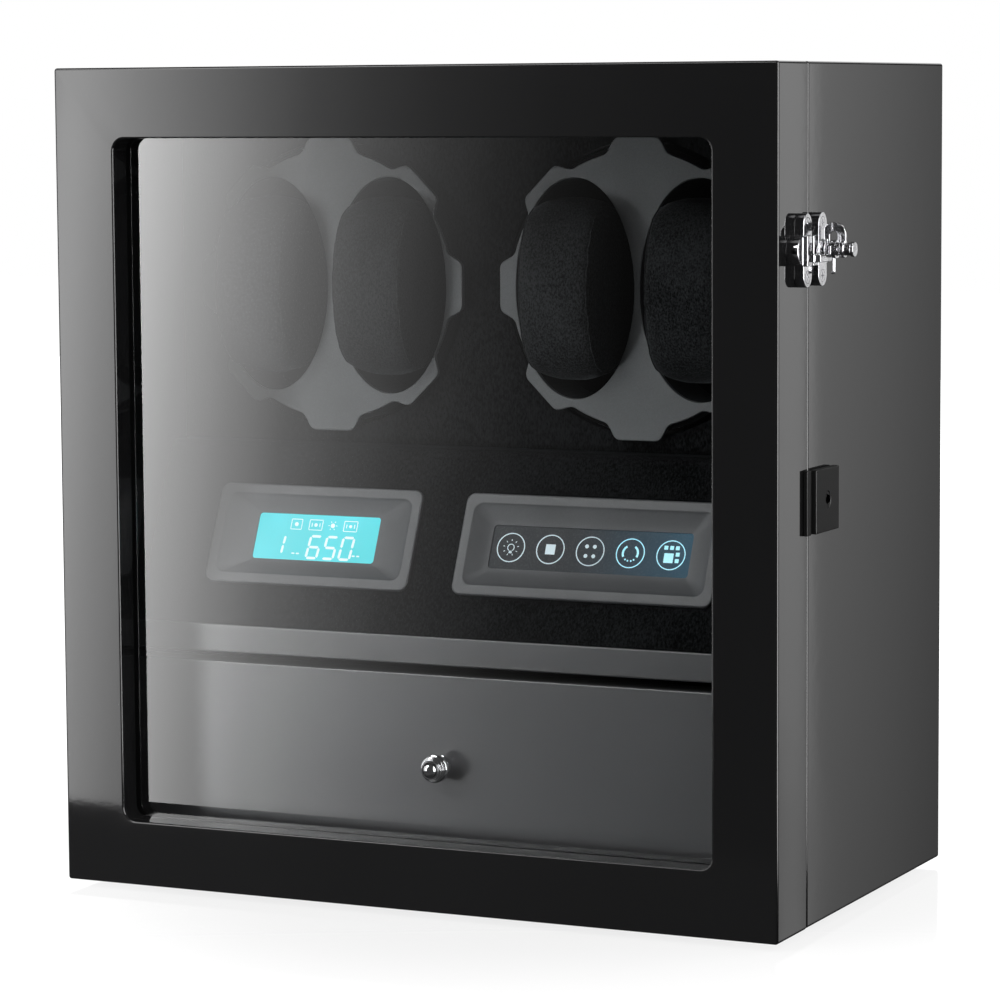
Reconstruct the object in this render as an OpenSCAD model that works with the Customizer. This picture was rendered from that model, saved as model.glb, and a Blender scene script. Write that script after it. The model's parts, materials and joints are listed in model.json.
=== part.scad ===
// Watch winder box: lacquered cabinet with a glazed door, two rotors that carry
// two watch cushions each, a sloping console and a drawer. Millimetres, +Z up.
// Every node is drawn in the cabinet frame (X centred on the case, Y = 0 on the
// door's front face, Z = 0 under the case) and placed() moves it so that the
// origin is the bottom centre of the whole object.

/* [Case] */
// Width of the lacquered case
case_w = 332; // [326:1:340]
// Height of the lacquered case without its feet
case_h = 352; // [350:1:360]
// Depth of the case with its door
case_d = 198; // [194:1:210]
// Thickness of the case panels
panel_t = 15; // [14:1:16]
// Radius on the long outer edges of the case
case_edge_r = 1.2; // [0.8:0.1:1.6]
// Thickness of the back panel
back_t = 6; // [5:1:8]
// Width of the rebate that holds the back panel
back_rebate = 7; // [5:1:8]
// Height of a foot
foot_h = 3; // [2:0.5:5]
// Radius of a foot
foot_r = 5; // [4:0.5:7]

/* [Door] */
// Thickness of the door
door_t = 32.6; // [31:0.1:32.8]
// Gap between the closed door and the case
seam = 1; // [0.6:0.1:1.4]
// Width of the door's stiles beside the window
stile_w = 28.6; // [27:0.1:30]
// Height of the door's top rail
top_rail_h = 29.9; // [28:0.1:31]
// Height of the door's bottom rail
bottom_rail_h = 28; // [27:0.1:30]
// Corner radius of the window
window_r = 5.5; // [4:0.5:8]
// Depth of the window's front reveal
reveal = 11; // [10:0.5:12]
// Thickness of the door glass
glass_t = 4; // [3:0.5:4]
// Overlap of the glass behind the window's edge
glass_lap = 6; // [4:0.5:8]

/* [Shelf and console] */
// Height of the underside of the middle shelf
shelf_z = 98.8; // [98:0.1:100]
// Thickness of the middle shelf
shelf_t = 12.2; // [11:0.1:13]
// Slope of the console from the horizontal, in degrees
console_slope = 66; // [64:1:68]
// Height of the console's top ledge
console_top = 188; // [186:1:189]
// Thickness of the padded boards
board_t = 4; // [3:0.5:5]
// Width of the display bezel
lcd_bezel_w = 99; // [98:0.5:101]
// Width of the key bezel
key_bezel_w = 119.5; // [118:0.5:121]
// Height of both bezels along the slope
bezel_h = 45.5; // [44:0.5:47]
// Width of the display window
lcd_w = 59.5; // [58:0.5:62]
// Height of the display window
lcd_h = 21; // [20:0.5:22]
// Width of the key panel
key_w = 91.8; // [90:0.2:93]
// Height of the key panel
key_h = 19.5; // [19:0.5:21]

/* [Rotors] */
// Distance from the middle of the case to each rotor's axis
rotor_x = 73; // [72:0.5:74]
// Height of the rotor axes
rotor_z = 257.5; // [257:0.5:258]
// Radius of the rotor disc between its lobes
disc_r = 58.6; // [58.4:0.1:59]
// Radius over the rotor disc's lobes
lobe_r = 64.8; // [64:0.1:65]
// Thickness of the rotor disc
disc_t = 2.5; // [2:0.5:3]
// Distance of each well's centre from the rotor axis
well_x = 28.8; // [28.5:0.1:29]
// Half width of a well
well_a = 27.4; // [27:0.1:27.4]
// Half height of a well
well_b = 47; // [46:0.1:47]
// Width of a watch cushion
cushion_w = 36.5; // [35:0.5:38]
// Height of a watch cushion
cushion_h = 84; // [82:1:86]
// Depth of a watch cushion
cushion_d = 50; // [48:1:51]

/* [Drawer] */
// Half width of the drawer front
drawer_half_w = 149; // [148:0.5:149.5]
// Height of the drawer front's lower edge
drawer_z = 16.5; // [16:0.5:18]
// Height of the drawer front's upper edge
drawer_top = 94.8; // [94:0.1:95.5]
// Thickness of the drawer front
drawer_front_t = 16; // [14:1:18]
// Depth of the drawer box behind its front
drawer_box_d = 130; // [110:5:135]
// Thickness of the drawer's boards
drawer_board_t = 8; // [6:1:10]

/* [Hardware] */
// Height of the latch's axis
latch_z = 277; // [276:1:279]
// Height of a latch plate
latch_plate_h = 29.6; // [28:0.1:31]
// Width of a latch plate's ears
latch_ear_w = 9.2; // [9:0.1:9.4]
// Thickness of a latch plate
latch_plate_t = 4.1; // [3.8:0.1:4.3]
// How far the latch spindle stands out of the case
latch_reach = 17.9; // [17:0.1:19]
// Height of the lock's axis
lock_z = 175; // [173:1:177]
// Side of the square lock plate
lock_plate_s = 26; // [25:0.5:27]
// Thickness of the lock plate
lock_plate_t = 3.2; // [3:0.1:3.5]
// Heights of the two hinges
hinge_z = [72, 280]; // [60:1:290]
// Height of a hinge
hinge_h = 40; // [36:1:46]

/* [Hidden] */
$fn = 64;
eps = 0.01;

half_w = case_w / 2;
case_y = door_t + seam;
back_y = case_d - back_t;
inner_w = half_w - panel_t;
ceiling_z = case_h - panel_t;
shelf_top = shelf_z + shelf_t;

// Hinge axis and barrel
hinge_leaf_t = 1.6;
hinge_leaf_w = 18;
barrel_r = 2.6;
hinge_pin_r = 1.2;
hinge_x = -half_w - hinge_leaf_t - 1.3;
hinge_y = door_t + seam / 2;

// Jack and screw heads stand this far behind the back panel
jack_flange_t = 1.5;

// Offsets that put the origin at the bottom centre of the whole object
left_reach = -hinge_x + barrel_r;
right_reach = half_w + latch_reach;
shift_x = (left_reach - right_reach) / 2;
shift_y = -(case_d + jack_flange_t) / 2;

// Rotor stack along Y
cushion_y = 50;
disc_y = 75;
panel_y = 80;
rotor_board_t = 6;
cup_r = 60.5;
cup_y = disc_y + disc_t;
cup_depth = 28.5;
cup_floor_t = 3;
cup_back = cup_y + cup_depth;
hub_t = 3;
pulley_t = 7;
plate_y = 118;
plate_t = 3;
belt_pitch_r = 20;
motor_pitch_r = 5;
belt_half_t = 1.1;
belt_w = 3;
belt_gap = 0.3;
flange_over = 1.8;
spindle_r = 4;
spindle_end = 131;
bush_r = 8;
running = 0.05;
motor_drop = 60;
motor_r = 16;
motor_len = 29;
motor_shaft_r = 1.5;
motor_shaft_end = 140;

// Console plane: centres of the bezels, measured along the slope
lcd_cx = -69.2;
key_cx = 61;
bezel_s = 41.7;
bezel_rise = 2;
bezel_sink = 1.2;
bezel_rim = 4.6;
bezel_r = 4;
console_y = case_y + 0.4;

// Drawer knob
knob_z = 56;
knob_len = 14.8;
knob_r = 6.35;

// Latch
latch_y = case_y + 0.1 + latch_ear_w / 2;
keeper_y = 17;
latch_screw_z = 10.6;
spindle_post_r = 2.5;
arch_r = 5.2;
arch_band = 3.4;
arch_t = 1.4;
arch_x = half_w + 9;
arch_leg = 5.5;

// Lock
lock_plate_y = case_y + 0.8;
lock_y = lock_plate_y + lock_plate_s / 2;
plug_r = 3.4;
cam_r = 3.54;
cam_pin_r = 1;
bolt_x = 153.4;
bolt_t = 3.4;
bolt_h = 12;
bolt_low = lock_z - 5;
bolt_throw = 5;
case_cut_y = 25;

module placed() {
    translate([shift_x, shift_y, foot_h]) children();
}

// Block from its lowest to its highest corner
module span(low, high) {
    translate(low) cube(high - low);
}

// Rectangle with round corners, centred
module round_rect(w, h, r) {
    square([w - 2 * r, h], center = true);
    square([w, h - 2 * r], center = true);
    for (x = [-1, 1], y = [-1, 1])
        translate([x * (w / 2 - r), y * (h / 2 - r)]) circle(r = r);
}

// Turns a 2D outline drawn in X and Z into a slab that starts at y and is t deep
module slab_xz(y, t) {
    translate([0, y + t, 0]) rotate([90, 0, 0]) linear_extrude(height = t) children();
}

// Turns a 2D outline drawn in Y and Z into a bar that starts at x and is t long
module bar_yz(x, t) {
    translate([x, 0, 0]) rotate([90, 0, 90]) linear_extrude(height = t) children();
}

// Cylinder along Y from y0 to y1
module rod_y(x, y0, y1, z, r) {
    translate([x, y0, z]) rotate([-90, 0, 0]) cylinder(r = r, h = y1 - y0);
}

// Cylinder along X from x0 to x1
module rod_x(x0, x1, y, z, r) {
    translate([x0, y, z]) rotate([0, 90, 0]) cylinder(r = r, h = x1 - x0);
}

function ellipse(a, b, n = 64) = [for (i = [0 : n - 1]) [a * cos(i * 360 / n), b * sin(i * 360 / n)]];

// Case ---------------------------------------------------------------------

module case_ring(wall) {
    difference() {
        translate([0, case_h / 2]) round_rect(case_w, case_h, case_edge_r);
        translate([0, case_h / 2]) square([case_w - 2 * wall, case_h - 2 * wall], center = true);
    }
}

// One mitred side of the ring: 0 right, 1 top, 2 left, 3 bottom
module mitre_wedge(side) {
    reach = panel_t + 1;
    x = half_w + 1;
    low = -1;
    high = case_h + 1;
    outline = [
        [[x, low], [x, high], [x - reach, high - reach], [x - reach, low + reach]],
        [[-x, high], [x, high], [x - reach, high - reach], [reach - x, high - reach]],
        [[-x, low], [-x, high], [reach - x, high - reach], [reach - x, low + reach]],
        [[-x, low], [x, low], [x - reach, low + reach], [reach - x, low + reach]]
    ];
    polygon(outline[side]);
}

module case_side(side) {
    slab_xz(case_y, back_y - case_y) intersection() {
        case_ring(panel_t);
        mitre_wedge(side);
    }
    slab_xz(back_y, back_t) intersection() {
        case_ring(panel_t - back_rebate);
        mitre_wedge(side);
    }
}

module top_panel() color("black") placed() case_side(1);

module bottom_panel() color("black") placed() case_side(3);

module left_panel() color("black") placed() case_side(2);

module right_panel() color("black") placed() difference() {
    case_side(0);
    span([inner_w - eps, case_y - eps, lock_z - 9], [half_w - 2.5, case_y + case_cut_y, lock_z + 9]);
    rod_x(inner_w, half_w + eps, lock_y, lock_z, plug_r + 1);
}

module back_panel() color("black") placed() difference() {
    rebate = panel_t - back_rebate;
    span([rebate - half_w, back_y, rebate], [half_w - rebate, case_d, case_h - rebate]);
    rod_y(jack_x, back_y - eps, case_d + eps, jack_z, jack_r);
}

module middle_shelf() color("black") placed()
    span([-inner_w, case_y, shelf_z], [inner_w, back_y, shelf_top]);

module feet() color("dimgray") placed()
    for (x = [-1, 1], y = [50, 184])
        translate([x * 152, y, -foot_h]) cylinder(r = foot_r, h = foot_h);

// Power inlet
jack_x = 104;
jack_z = 130;
jack_r = 4;

module dc_jack() color("dimgray") placed() {
    difference() {
        union() {
            rod_y(jack_x, back_y - 8, case_d, jack_z, jack_r);
            rod_y(jack_x, case_d, case_d + jack_flange_t, jack_z, jack_r + 2);
        }
        rod_y(jack_x, back_y - 4, case_d + jack_flange_t + eps, jack_z, 2.75);
    }
    rod_y(jack_x, back_y - 5, case_d, jack_z, 1);
}

// Screw along Y whose domed head starts at y and points backwards
module back_screw(x, z) {
    rod_y(x, case_d - 14, case_d, z, 1.4);
    translate([x, case_d, z]) rotate([-90, 0, 0]) cylinder(r1 = 3, r2 = 1.8, h = 1.2);
}

module back_screws() color("silver") placed() {
    edge = panel_t - back_rebate / 2;
    for (x = [-1, 1], z = [30, case_h / 2, case_h - 30]) back_screw(x * (half_w - edge), z);
    for (z = [edge, case_h - edge]) back_screw(0, z);
}

// Inner fittings -----------------------------------------------------------

module upper_lining() color("#15151a") placed() {
    skin = 1.5;
    slab_xz(case_y + 1, panel_y - case_y - 1) difference() {
        translate([-inner_w, shelf_top]) square([2 * inner_w, ceiling_z - shelf_top]);
        translate([skin - inner_w, shelf_top - 1])
            square([2 * (inner_w - skin), ceiling_z - skin - shelf_top + 1]);
    }
}

lining_in = 1.5;
board_half = inner_w - lining_in;

module rotor_panel() color("#15151a") placed()
    slab_xz(panel_y, rotor_board_t) difference() {
        translate([-inner_w, shelf_top]) square([2 * inner_w, ceiling_z - shelf_top]);
        for (x = [-1, 1]) translate([x * rotor_x, rotor_z]) circle(r = cup_r + 2.1);
    }

// Puts children in the console's plane: X across, Y up the slope, Z outwards
module on_console() {
    translate([0, console_y, shelf_top]) rotate([console_slope, 0, 0]) children();
}

module console_panel() color("#1b1b20") placed() difference() {
    run = (console_top - shelf_top) / tan(console_slope);
    back_run = (console_top - board_t - shelf_top) / tan(console_slope);
    foot = board_t / sin(console_slope);
    bar_yz(-board_half, 2 * board_half) polygon([
        [console_y, shelf_top],
        [console_y + run, console_top],
        [panel_y, console_top],
        [panel_y, console_top - board_t],
        [console_y + foot + back_run, console_top - board_t],
        [console_y + foot, shelf_top]
    ]);
    on_console() {
        console_hole(lcd_cx, lcd_bezel_w);
        console_hole(key_cx, key_bezel_w);
    }
}

module console_hole(cx, w) {
    translate([cx, bezel_s, 0]) cube([w - 7, bezel_h - 7, 3 * board_t], center = true);
}

// Funnel-shaped frame: flat rim outside, slopes down to the window
module bezel(cx, w, win_w, win_h) {
    translate([cx, bezel_s, 0]) difference() {
        union() {
            linear_extrude(height = bezel_rise) round_rect(w, bezel_h, bezel_r);
            translate([0, 0, -board_t])
                linear_extrude(height = board_t) square([w - 8, bezel_h - 8], center = true);
        }
        hull() {
            translate([0, 0, bezel_rise]) linear_extrude(height = 0.5)
                round_rect(w - 2 * bezel_rim, bezel_h - 2 * bezel_rim, bezel_r);
            translate([0, 0, -bezel_sink]) linear_extrude(height = eps)
                round_rect(win_w, win_h, 1.5);
        }
        translate([0, 0, -board_t - eps]) linear_extrude(height = board_t - bezel_sink + 2 * eps)
            square([win_w + 3, win_h + 3], center = true);
    }
}

module window_pane(cx, win_w, win_h) {
    translate([cx, bezel_s, -board_t]) linear_extrude(height = board_t - bezel_sink)
        square([win_w + 2.6, win_h + 2.6], center = true);
}

module lcd_bezel() color("dimgray") placed() on_console() bezel(lcd_cx, lcd_bezel_w, lcd_w, lcd_h);

module lcd_display() color("deepskyblue") placed() on_console() window_pane(lcd_cx, lcd_w, lcd_h);

module key_bezel() color("dimgray") placed() on_console() bezel(key_cx, key_bezel_w, key_w, key_h);

module key_panel() color("slategray") placed() on_console() window_pane(key_cx, key_w, key_h);

module control_board() color("darkgreen") placed() on_console() {
    post_h = 4;
    board_h = 1.6;
    translate([-110, 14, -board_t - post_h - board_h]) cube([222, 46, board_h]);
    for (x = [-13, -6], y = [24, 50])
        translate([x, y, -board_t - post_h]) cylinder(r = 2.5, h = post_h);
}

module led_strip() color("white") placed()
    span([-120, case_y + 3, ceiling_z - lining_in - 4], [120, case_y + 11, ceiling_z - lining_in]);

// Drive --------------------------------------------------------------------

motor_z = rotor_z - motor_drop;

module motor_plate() color("silver") placed()
    slab_xz(plate_y, plate_t) difference() {
        translate([-inner_w, 150]) square([2 * inner_w, 180]);
        for (x = [-1, 1]) {
            translate([x * rotor_x, rotor_z]) circle(r = bush_r);
            translate([x * rotor_x, motor_z]) circle(r = motor_shaft_r + 1.5);
        }
    }

module motor(side) {
    difference() {
        union() {
            rod_y(side * rotor_x, plate_y + plate_t, plate_y + plate_t + motor_len, motor_z, motor_r);
            rod_y(side * rotor_x, plate_y + plate_t + motor_len, plate_y + plate_t + motor_len + 3, motor_z, 6);
        }
        rod_y(side * rotor_x, plate_y, motor_shaft_end + 1, motor_z, motor_shaft_r + running);
    }
}

module motor_left() color("silver") placed() motor(-1);

module motor_right() color("silver") placed() motor(1);

module spindle_bushes() color("goldenrod") placed()
    for (x = [-1, 1]) difference() {
        union() {
            rod_y(x * rotor_x, plate_y - 1, plate_y + plate_t, rotor_z, bush_r);
            rod_y(x * rotor_x, plate_y + plate_t, plate_y + plate_t + 3, rotor_z, bush_r + 2.5);
        }
        rod_y(x * rotor_x, plate_y - 2, plate_y + plate_t + 4, rotor_z, spindle_r + running);
    }

// Outline round both pulleys, grow wider than the pitch line: a long arc round the
// rotor's pulley, a straight run, a short arc round the motor's and a run back
function belt_outline(grow) =
    let (a = asin((belt_pitch_r - motor_pitch_r) / motor_drop),
         big = belt_pitch_r + grow,
         small = motor_pitch_r + grow)
    concat(
        [for (i = [0 : 36]) let (t = -a + i * (180 + 2 * a) / 36) big * [cos(t), sin(t)]],
        [for (i = [0 : 12]) let (t = 180 + a + i * (180 - 2 * a) / 12)
            small * [cos(t), sin(t)] - [0, motor_drop]]
    );

belt_y = cup_back + hub_t + (pulley_t - belt_w) / 2;

module drive_belts() color("#202020") placed()
    for (x = [-1, 1]) translate([x * rotor_x, 0, rotor_z]) slab_xz(belt_y, belt_w) difference() {
        polygon(belt_outline(belt_half_t));
        polygon(belt_outline(-belt_half_t));
    }

// Grooved pulley's outline in radius and length, from y = 0
function pulley_outline(pitch) = [
    [0, 0],
    [pitch + flange_over, 0],
    [pitch + flange_over, 1.4],
    [pitch - belt_half_t - belt_gap, 1.4],
    [pitch - belt_half_t - belt_gap, pulley_t - 1.4],
    [pitch + flange_over, pulley_t - 1.4],
    [pitch + flange_over, pulley_t],
    [0, pulley_t]
];

// Turns a radius and length outline about the Y axis through x and z
module turned_y(x, y, z) {
    translate([x, y, z]) rotate([-90, 0, 0]) rotate_extrude() children();
}

module spindle(side) {
    turned_y(side * rotor_x, cup_back + hub_t, rotor_z) polygon(pulley_outline(belt_pitch_r));
    rod_y(side * rotor_x, cup_back, cup_back + hub_t, rotor_z, 14);
    rod_y(side * rotor_x, cup_back + hub_t, spindle_end, rotor_z, spindle_r);
}

module spindle_left() color("gainsboro") placed() spindle(-1);

module spindle_right() color("gainsboro") placed() spindle(1);

module motor_pulley(side) {
    turned_y(side * rotor_x, cup_back + hub_t, motor_z) polygon(pulley_outline(motor_pitch_r));
    rod_y(side * rotor_x, cup_back + hub_t, motor_shaft_end, motor_z, motor_shaft_r);
}

module motor_pulley_left() color("gainsboro") placed() motor_pulley(-1);

module motor_pulley_right() color("gainsboro") placed() motor_pulley(1);

// Rotors -------------------------------------------------------------------

lobe_count = 8;
lobe_tip = asin(10.25 / lobe_r);
lobe_root = asin(14 / disc_r);
lobe_pitch = 360 / lobe_count;

// One lobe and the stretch of rim that follows it
function lobe(a) = concat(
    [for (t = [-1 : 1]) lobe_r * [cos(a + t * lobe_tip), sin(a + t * lobe_tip)]],
    [for (i = [0 : 3]) let (b = a + lobe_root + i * (lobe_pitch - 2 * lobe_root) / 3)
        disc_r * [cos(b), sin(b)]]
);

module wells() {
    for (s = [-1, 1]) translate([s * well_x, 0]) polygon(ellipse(well_a, well_b));
}

module rotor_disc(side) {
    translate([side * rotor_x, 0, rotor_z]) slab_xz(disc_y, disc_t) difference() {
        polygon([for (k = [0 : lobe_count - 1]) each lobe(k * lobe_pitch)]);
        wells();
    }
}

module rotor_disc_left() color("gray") placed() rotor_disc(-1);

module rotor_disc_right() color("gray") placed() rotor_disc(1);

module cup_housing(side) {
    translate([side * rotor_x, 0, rotor_z]) difference() {
        rod_y(0, cup_y, cup_back, 0, cup_r);
        slab_xz(cup_y - 1, cup_depth - cup_floor_t + 1) wells();
    }
}

module cup_housing_left() color("#15151a") placed() cup_housing(-1);

module cup_housing_right() color("#15151a") placed() cup_housing(1);

// Oval drum whose corners are trimmed to slide in its oval well
module cushion(side, well) {
    clear = 0.7;
    translate([side * rotor_x + well * well_x, 0, rotor_z]) intersection() {
        bar_yz(-cushion_w / 2, cushion_w) translate([cushion_y + cushion_d / 2, 0])
            polygon(ellipse(cushion_d / 2, cushion_h / 2, 48));
        slab_xz(cushion_y - 1, cushion_d + 2) polygon(ellipse(well_a - clear, well_b - clear, 48));
    }
}

module cushion_left_a() color("#1a1a1e") placed() cushion(-1, -1);

module cushion_left_b() color("#1a1a1e") placed() cushion(-1, 1);

module cushion_right_a() color("#1a1a1e") placed() cushion(1, -1);

module cushion_right_b() color("#1a1a1e") placed() cushion(1, 1);

// Door ---------------------------------------------------------------------

window_w = case_w - 2 * stile_w;
window_h = case_h - top_rail_h - bottom_rail_h;
window_cz = bottom_rail_h + window_h / 2;

module window(grow, r) {
    translate([0, window_cz]) round_rect(window_w + 2 * grow, window_h + 2 * grow, r);
}

module door_frame() color("black") placed() difference() {
    slab_xz(0, door_t) translate([0, case_h / 2]) round_rect(case_w, case_h, case_edge_r);
    slab_xz(-1, door_t + 2) window(0, window_r);
    slab_xz(reveal, door_t) window(glass_lap, 2);
    span([bolt_x - 0.5, door_t - bolt_throw + 0.6, bolt_low - 0.5],
         [bolt_x + bolt_t + 0.5, door_t + 1, bolt_low + bolt_h + 0.5]);
}

module door_glass() color([0.8, 0.85, 0.9, 0.3]) placed()
    slab_xz(reveal, glass_t) window(glass_lap - 0.5, 1.5);

module glass_bead() color("black") placed() slab_xz(reveal + glass_t, 8) difference() {
    window(glass_lap, 2);
    window(0, window_r);
}

// Hardware -----------------------------------------------------------------

// The three knuckles of a hinge from its foot up: 0 and 2 are the case leaf's
knuckle_h = hinge_h / 3;
knuckle_gap = 0.3;

module knuckle(z0, k) {
    translate([hinge_x, hinge_y, z0 + k * knuckle_h + knuckle_gap / 2])
        cylinder(r = barrel_r, h = knuckle_h - knuckle_gap);
}

// Leaf on the case's left side; away is 1 behind the axis and -1 in front of it
module hinge_leaf(z0, away, knuckles) {
    near = hinge_y + away * (barrel_r + 0.5);
    far = hinge_y + away * hinge_leaf_w;
    difference() {
        union() {
            span([-half_w - hinge_leaf_t, min(near, far), z0], [-half_w, max(near, far), z0 + hinge_h]);
            for (k = knuckles) {
                knuckle(z0, k);
                span([-half_w - hinge_leaf_t, min(hinge_y, near), z0 + k * knuckle_h + knuckle_gap / 2],
                     [-half_w, max(hinge_y, near), z0 + (k + 1) * knuckle_h - knuckle_gap / 2]);
            }
        }
        translate([hinge_x, hinge_y, z0 - 1]) cylinder(r = hinge_pin_r + running, h = hinge_h + 2);
        for (z = hinge_screw_z) hinge_screw(z0 + z, hinge_y + away * 11.5, 0.1);
    }
}

hinge_screw_z = [8, hinge_h - 8];

// Countersunk screw along X into the case's left side
module hinge_screw(z, y, grow) {
    rod_x(-half_w - hinge_leaf_t, -half_w + 9, y, z, 1.2 + grow);
    translate([-half_w - hinge_leaf_t, y, z]) rotate([0, 90, 0])
        cylinder(r1 = 2.6 + grow, r2 = 1.2 + grow, h = 1.4);
}

module hinge_case_leaves() color("silver") placed()
    for (z = hinge_z) hinge_leaf(z - hinge_h / 2, 1, [0, 2]);

module hinge_door_leaves() color("silver") placed()
    for (z = hinge_z) hinge_leaf(z - hinge_h / 2, -1, [1]);

module hinge_pins() color("silver") placed()
    for (z = hinge_z) translate([hinge_x, hinge_y, z - hinge_h / 2])
        cylinder(r = hinge_pin_r, h = hinge_h);

module hinge_case_screws() color("silver") placed()
    for (z = hinge_z, s = hinge_screw_z) hinge_screw(z - hinge_h / 2 + s, hinge_y + 11.5, 0);

module hinge_door_screws() color("silver") placed()
    for (z = hinge_z, s = hinge_screw_z) hinge_screw(z - hinge_h / 2 + s, hinge_y - 11.5, 0);

// Plate with two round ears that stands on the case's right side
module latch_plate(y) {
    ear = latch_ear_w / 2;
    half = latch_plate_h / 2;
    difference() {
        bar_yz(half_w, latch_plate_t) {
            translate([y - ear, latch_z - half + ear]) square([latch_ear_w, latch_plate_h - latch_ear_w]);
            for (s = [-1, 1]) translate([y, latch_z + s * (half - ear)]) circle(r = ear);
        }
        for (s = [-1, 1]) latch_screw(y, latch_z + s * latch_screw_z, 0.1);
    }
}

module latch_screw(y, z, grow) {
    rod_x(half_w - 8, half_w + latch_plate_t - 1.2, y, z, 1.1 + grow);
    translate([half_w + latch_plate_t - 1.3, y, z]) rotate([0, 90, 0])
        cylinder(r1 = 1.1 + grow, r2 = 2.4 + grow, h = 1.3);
}

keeper_mid = keeper_y + latch_ear_w / 2;

module latch_door_plate() color("silver") placed() {
    latch_plate(keeper_mid);
    // Hub with a round boss at its front
    hub_top = half_w + 7.2;
    difference() {
        union() {
            span([half_w, keeper_y - 3.8, latch_z - 6], [hub_top, keeper_y + latch_ear_w - 1, latch_z + 6]);
            rod_x(half_w, half_w + 5.2, keeper_y - 4, latch_z, 5.4);
        }
        span([half_w + 5, keeper_y + 1.6, latch_z - 7], [hub_top + 1, keeper_y + 3.2, latch_z + 7]);
        for (s = [-1, 1]) latch_screw(keeper_mid, latch_z + s * latch_screw_z, 0.1);
    }
    // Catch that the hook drops over
    catch_low = latch_z - 4.6;
    catch_back = latch_y - 5.1;
    span([half_w + 5, keeper_y + 3.4, catch_low], [arch_x + 1, catch_back, latch_z - arch_t / 2 - 0.9]);
    span([arch_x - 1, catch_back - 1.6, catch_low], [arch_x + 1, catch_back, latch_z + 1.5]);
}

module latch_door_screws() color("silver") placed()
    for (s = [-1, 1]) latch_screw(keeper_mid, latch_z + s * latch_screw_z, 0);

module latch_case_plate() color("silver") placed() difference() {
    union() {
        latch_plate(latch_y);
        rod_x(half_w, half_w + latch_plate_t + 0.5, latch_y, latch_z, 4);
    }
    rod_x(half_w + 1, half_w + latch_plate_t + 2, latch_y, latch_z, spindle_post_r + running);
}

module latch_case_screws() color("silver") placed()
    for (s = [-1, 1]) latch_screw(latch_y, latch_z + s * latch_screw_z, 0);

// Arch in X and Z whose legs start on the spindle's axis
module arch_outline() {
    difference() {
        union() {
            translate([-arch_r, 0]) square([2 * arch_r, arch_leg]);
            translate([0, arch_leg]) circle(r = arch_r);
        }
        inner = arch_r - arch_band;
        translate([-inner, -1]) square([2 * inner, arch_leg + 1]);
        translate([0, arch_leg]) circle(r = inner);
    }
}

module latch_hook() color("silver") placed() {
    tip_x = half_w + latch_reach;
    rod_x(half_w + 1.3, tip_x - 1, latch_y, latch_z, spindle_post_r);
    rod_x(half_w + latch_plate_t + 0.9, half_w + latch_plate_t + 2.3, latch_y, latch_z, 4);
    rod_x(half_w + 12.2, half_w + 13.8, latch_y, latch_z, 3.4);
    rod_x(tip_x - 1.4, tip_x, latch_y, latch_z, 3);
    difference() {
        translate([arch_x, 0, latch_z]) slab_xz(latch_y - arch_t / 2, arch_t) arch_outline();
        span([half_w, latch_y - 2, latch_z - 1],
             [half_w + latch_plate_t + 0.9, latch_y + 2, latch_z + 20]);
    }
}

module latch_spring() color("silver") placed() {
    difference() {
        rod_x(arch_x - 1.3, arch_x + 1.3, latch_y, latch_z, spindle_post_r + 1.1);
        rod_x(arch_x - 2, arch_x + 2, latch_y, latch_z, spindle_post_r + 0.3);
    }
    translate([arch_x, latch_y, latch_z - 9.6]) cylinder(r = 0.5, h = 6.6);
    rod_y(arch_x, latch_y - 2, latch_y + 0.4, latch_z - 9.4, 0.5);
}

module lock_plate() color("#0c0c0c") placed() difference() {
    span([half_w, lock_plate_y, lock_z - lock_plate_s / 2],
         [half_w + lock_plate_t, lock_plate_y + lock_plate_s, lock_z + lock_plate_s / 2]);
    rod_x(half_w - 1, half_w + lock_plate_t + 1, lock_y, lock_z, plug_r + running);
}

// Box with a mouth towards the door, sunk in the right panel
module lock_case() color("gray") placed() difference() {
    span([bolt_x - 2, case_y + 0.2, lock_z - 8.6], [half_w - 2.7, case_y + case_cut_y - 0.4, lock_z + 8.6]);
    span([bolt_x - 0.4, case_y - 1, lock_z - 7.4],
         [half_w - 4.2, case_y + case_cut_y - 1.6, lock_z + 7.4]);
    rod_x(bolt_x, half_w, lock_y, lock_z, plug_r + 0.4);
}

// Plug with its key slot towards the back and a cam pin at its inner end
module lock_cylinder() color("#161616") placed() {
    difference() {
        rod_x(bolt_x + bolt_t + 0.5, half_w + lock_plate_t - 0.3, lock_y, lock_z, plug_r);
        rod_x(half_w - 4, half_w + lock_plate_t, lock_y, lock_z, 1.6);
        span([half_w - 4, lock_y, lock_z - 1.1], [half_w + lock_plate_t, lock_y + 3, lock_z + 1.1]);
    }
    rod_x(bolt_x + bolt_t + 0.5, bolt_x + bolt_t + 1.7, lock_y, lock_z, cam_r + 1.6);
    rod_x(bolt_x + 0.3, bolt_x + bolt_t + 1, lock_y + cam_r * cos(45), lock_z + cam_r * sin(45), cam_pin_r);
}

module lock_bolt() color("silver") placed() difference() {
    span([bolt_x, case_y + 0.6, bolt_low], [bolt_x + bolt_t, lock_y + cam_r * cos(45) + 3, bolt_low + bolt_h]);
    span([bolt_x - 1, lock_y + cam_r * cos(45) - 1.4, lock_z + 0.9],
         [bolt_x + bolt_t + 1, lock_y + cam_r * cos(45) + 1.4, lock_z + 5.2]);
}

module strike_plate() color("#0c0c0c") placed()
    span([half_w, door_t - 4.7, lock_z - 13.2], [half_w + 1.75, door_t - 0.2, lock_z + 13.2]);

// Drawer -------------------------------------------------------------------

front_y = case_y + 0.4;
box_y = front_y + drawer_front_t;
box_half = drawer_half_w - 3;
box_top = drawer_top - 10;
tray_t = 5;

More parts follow.
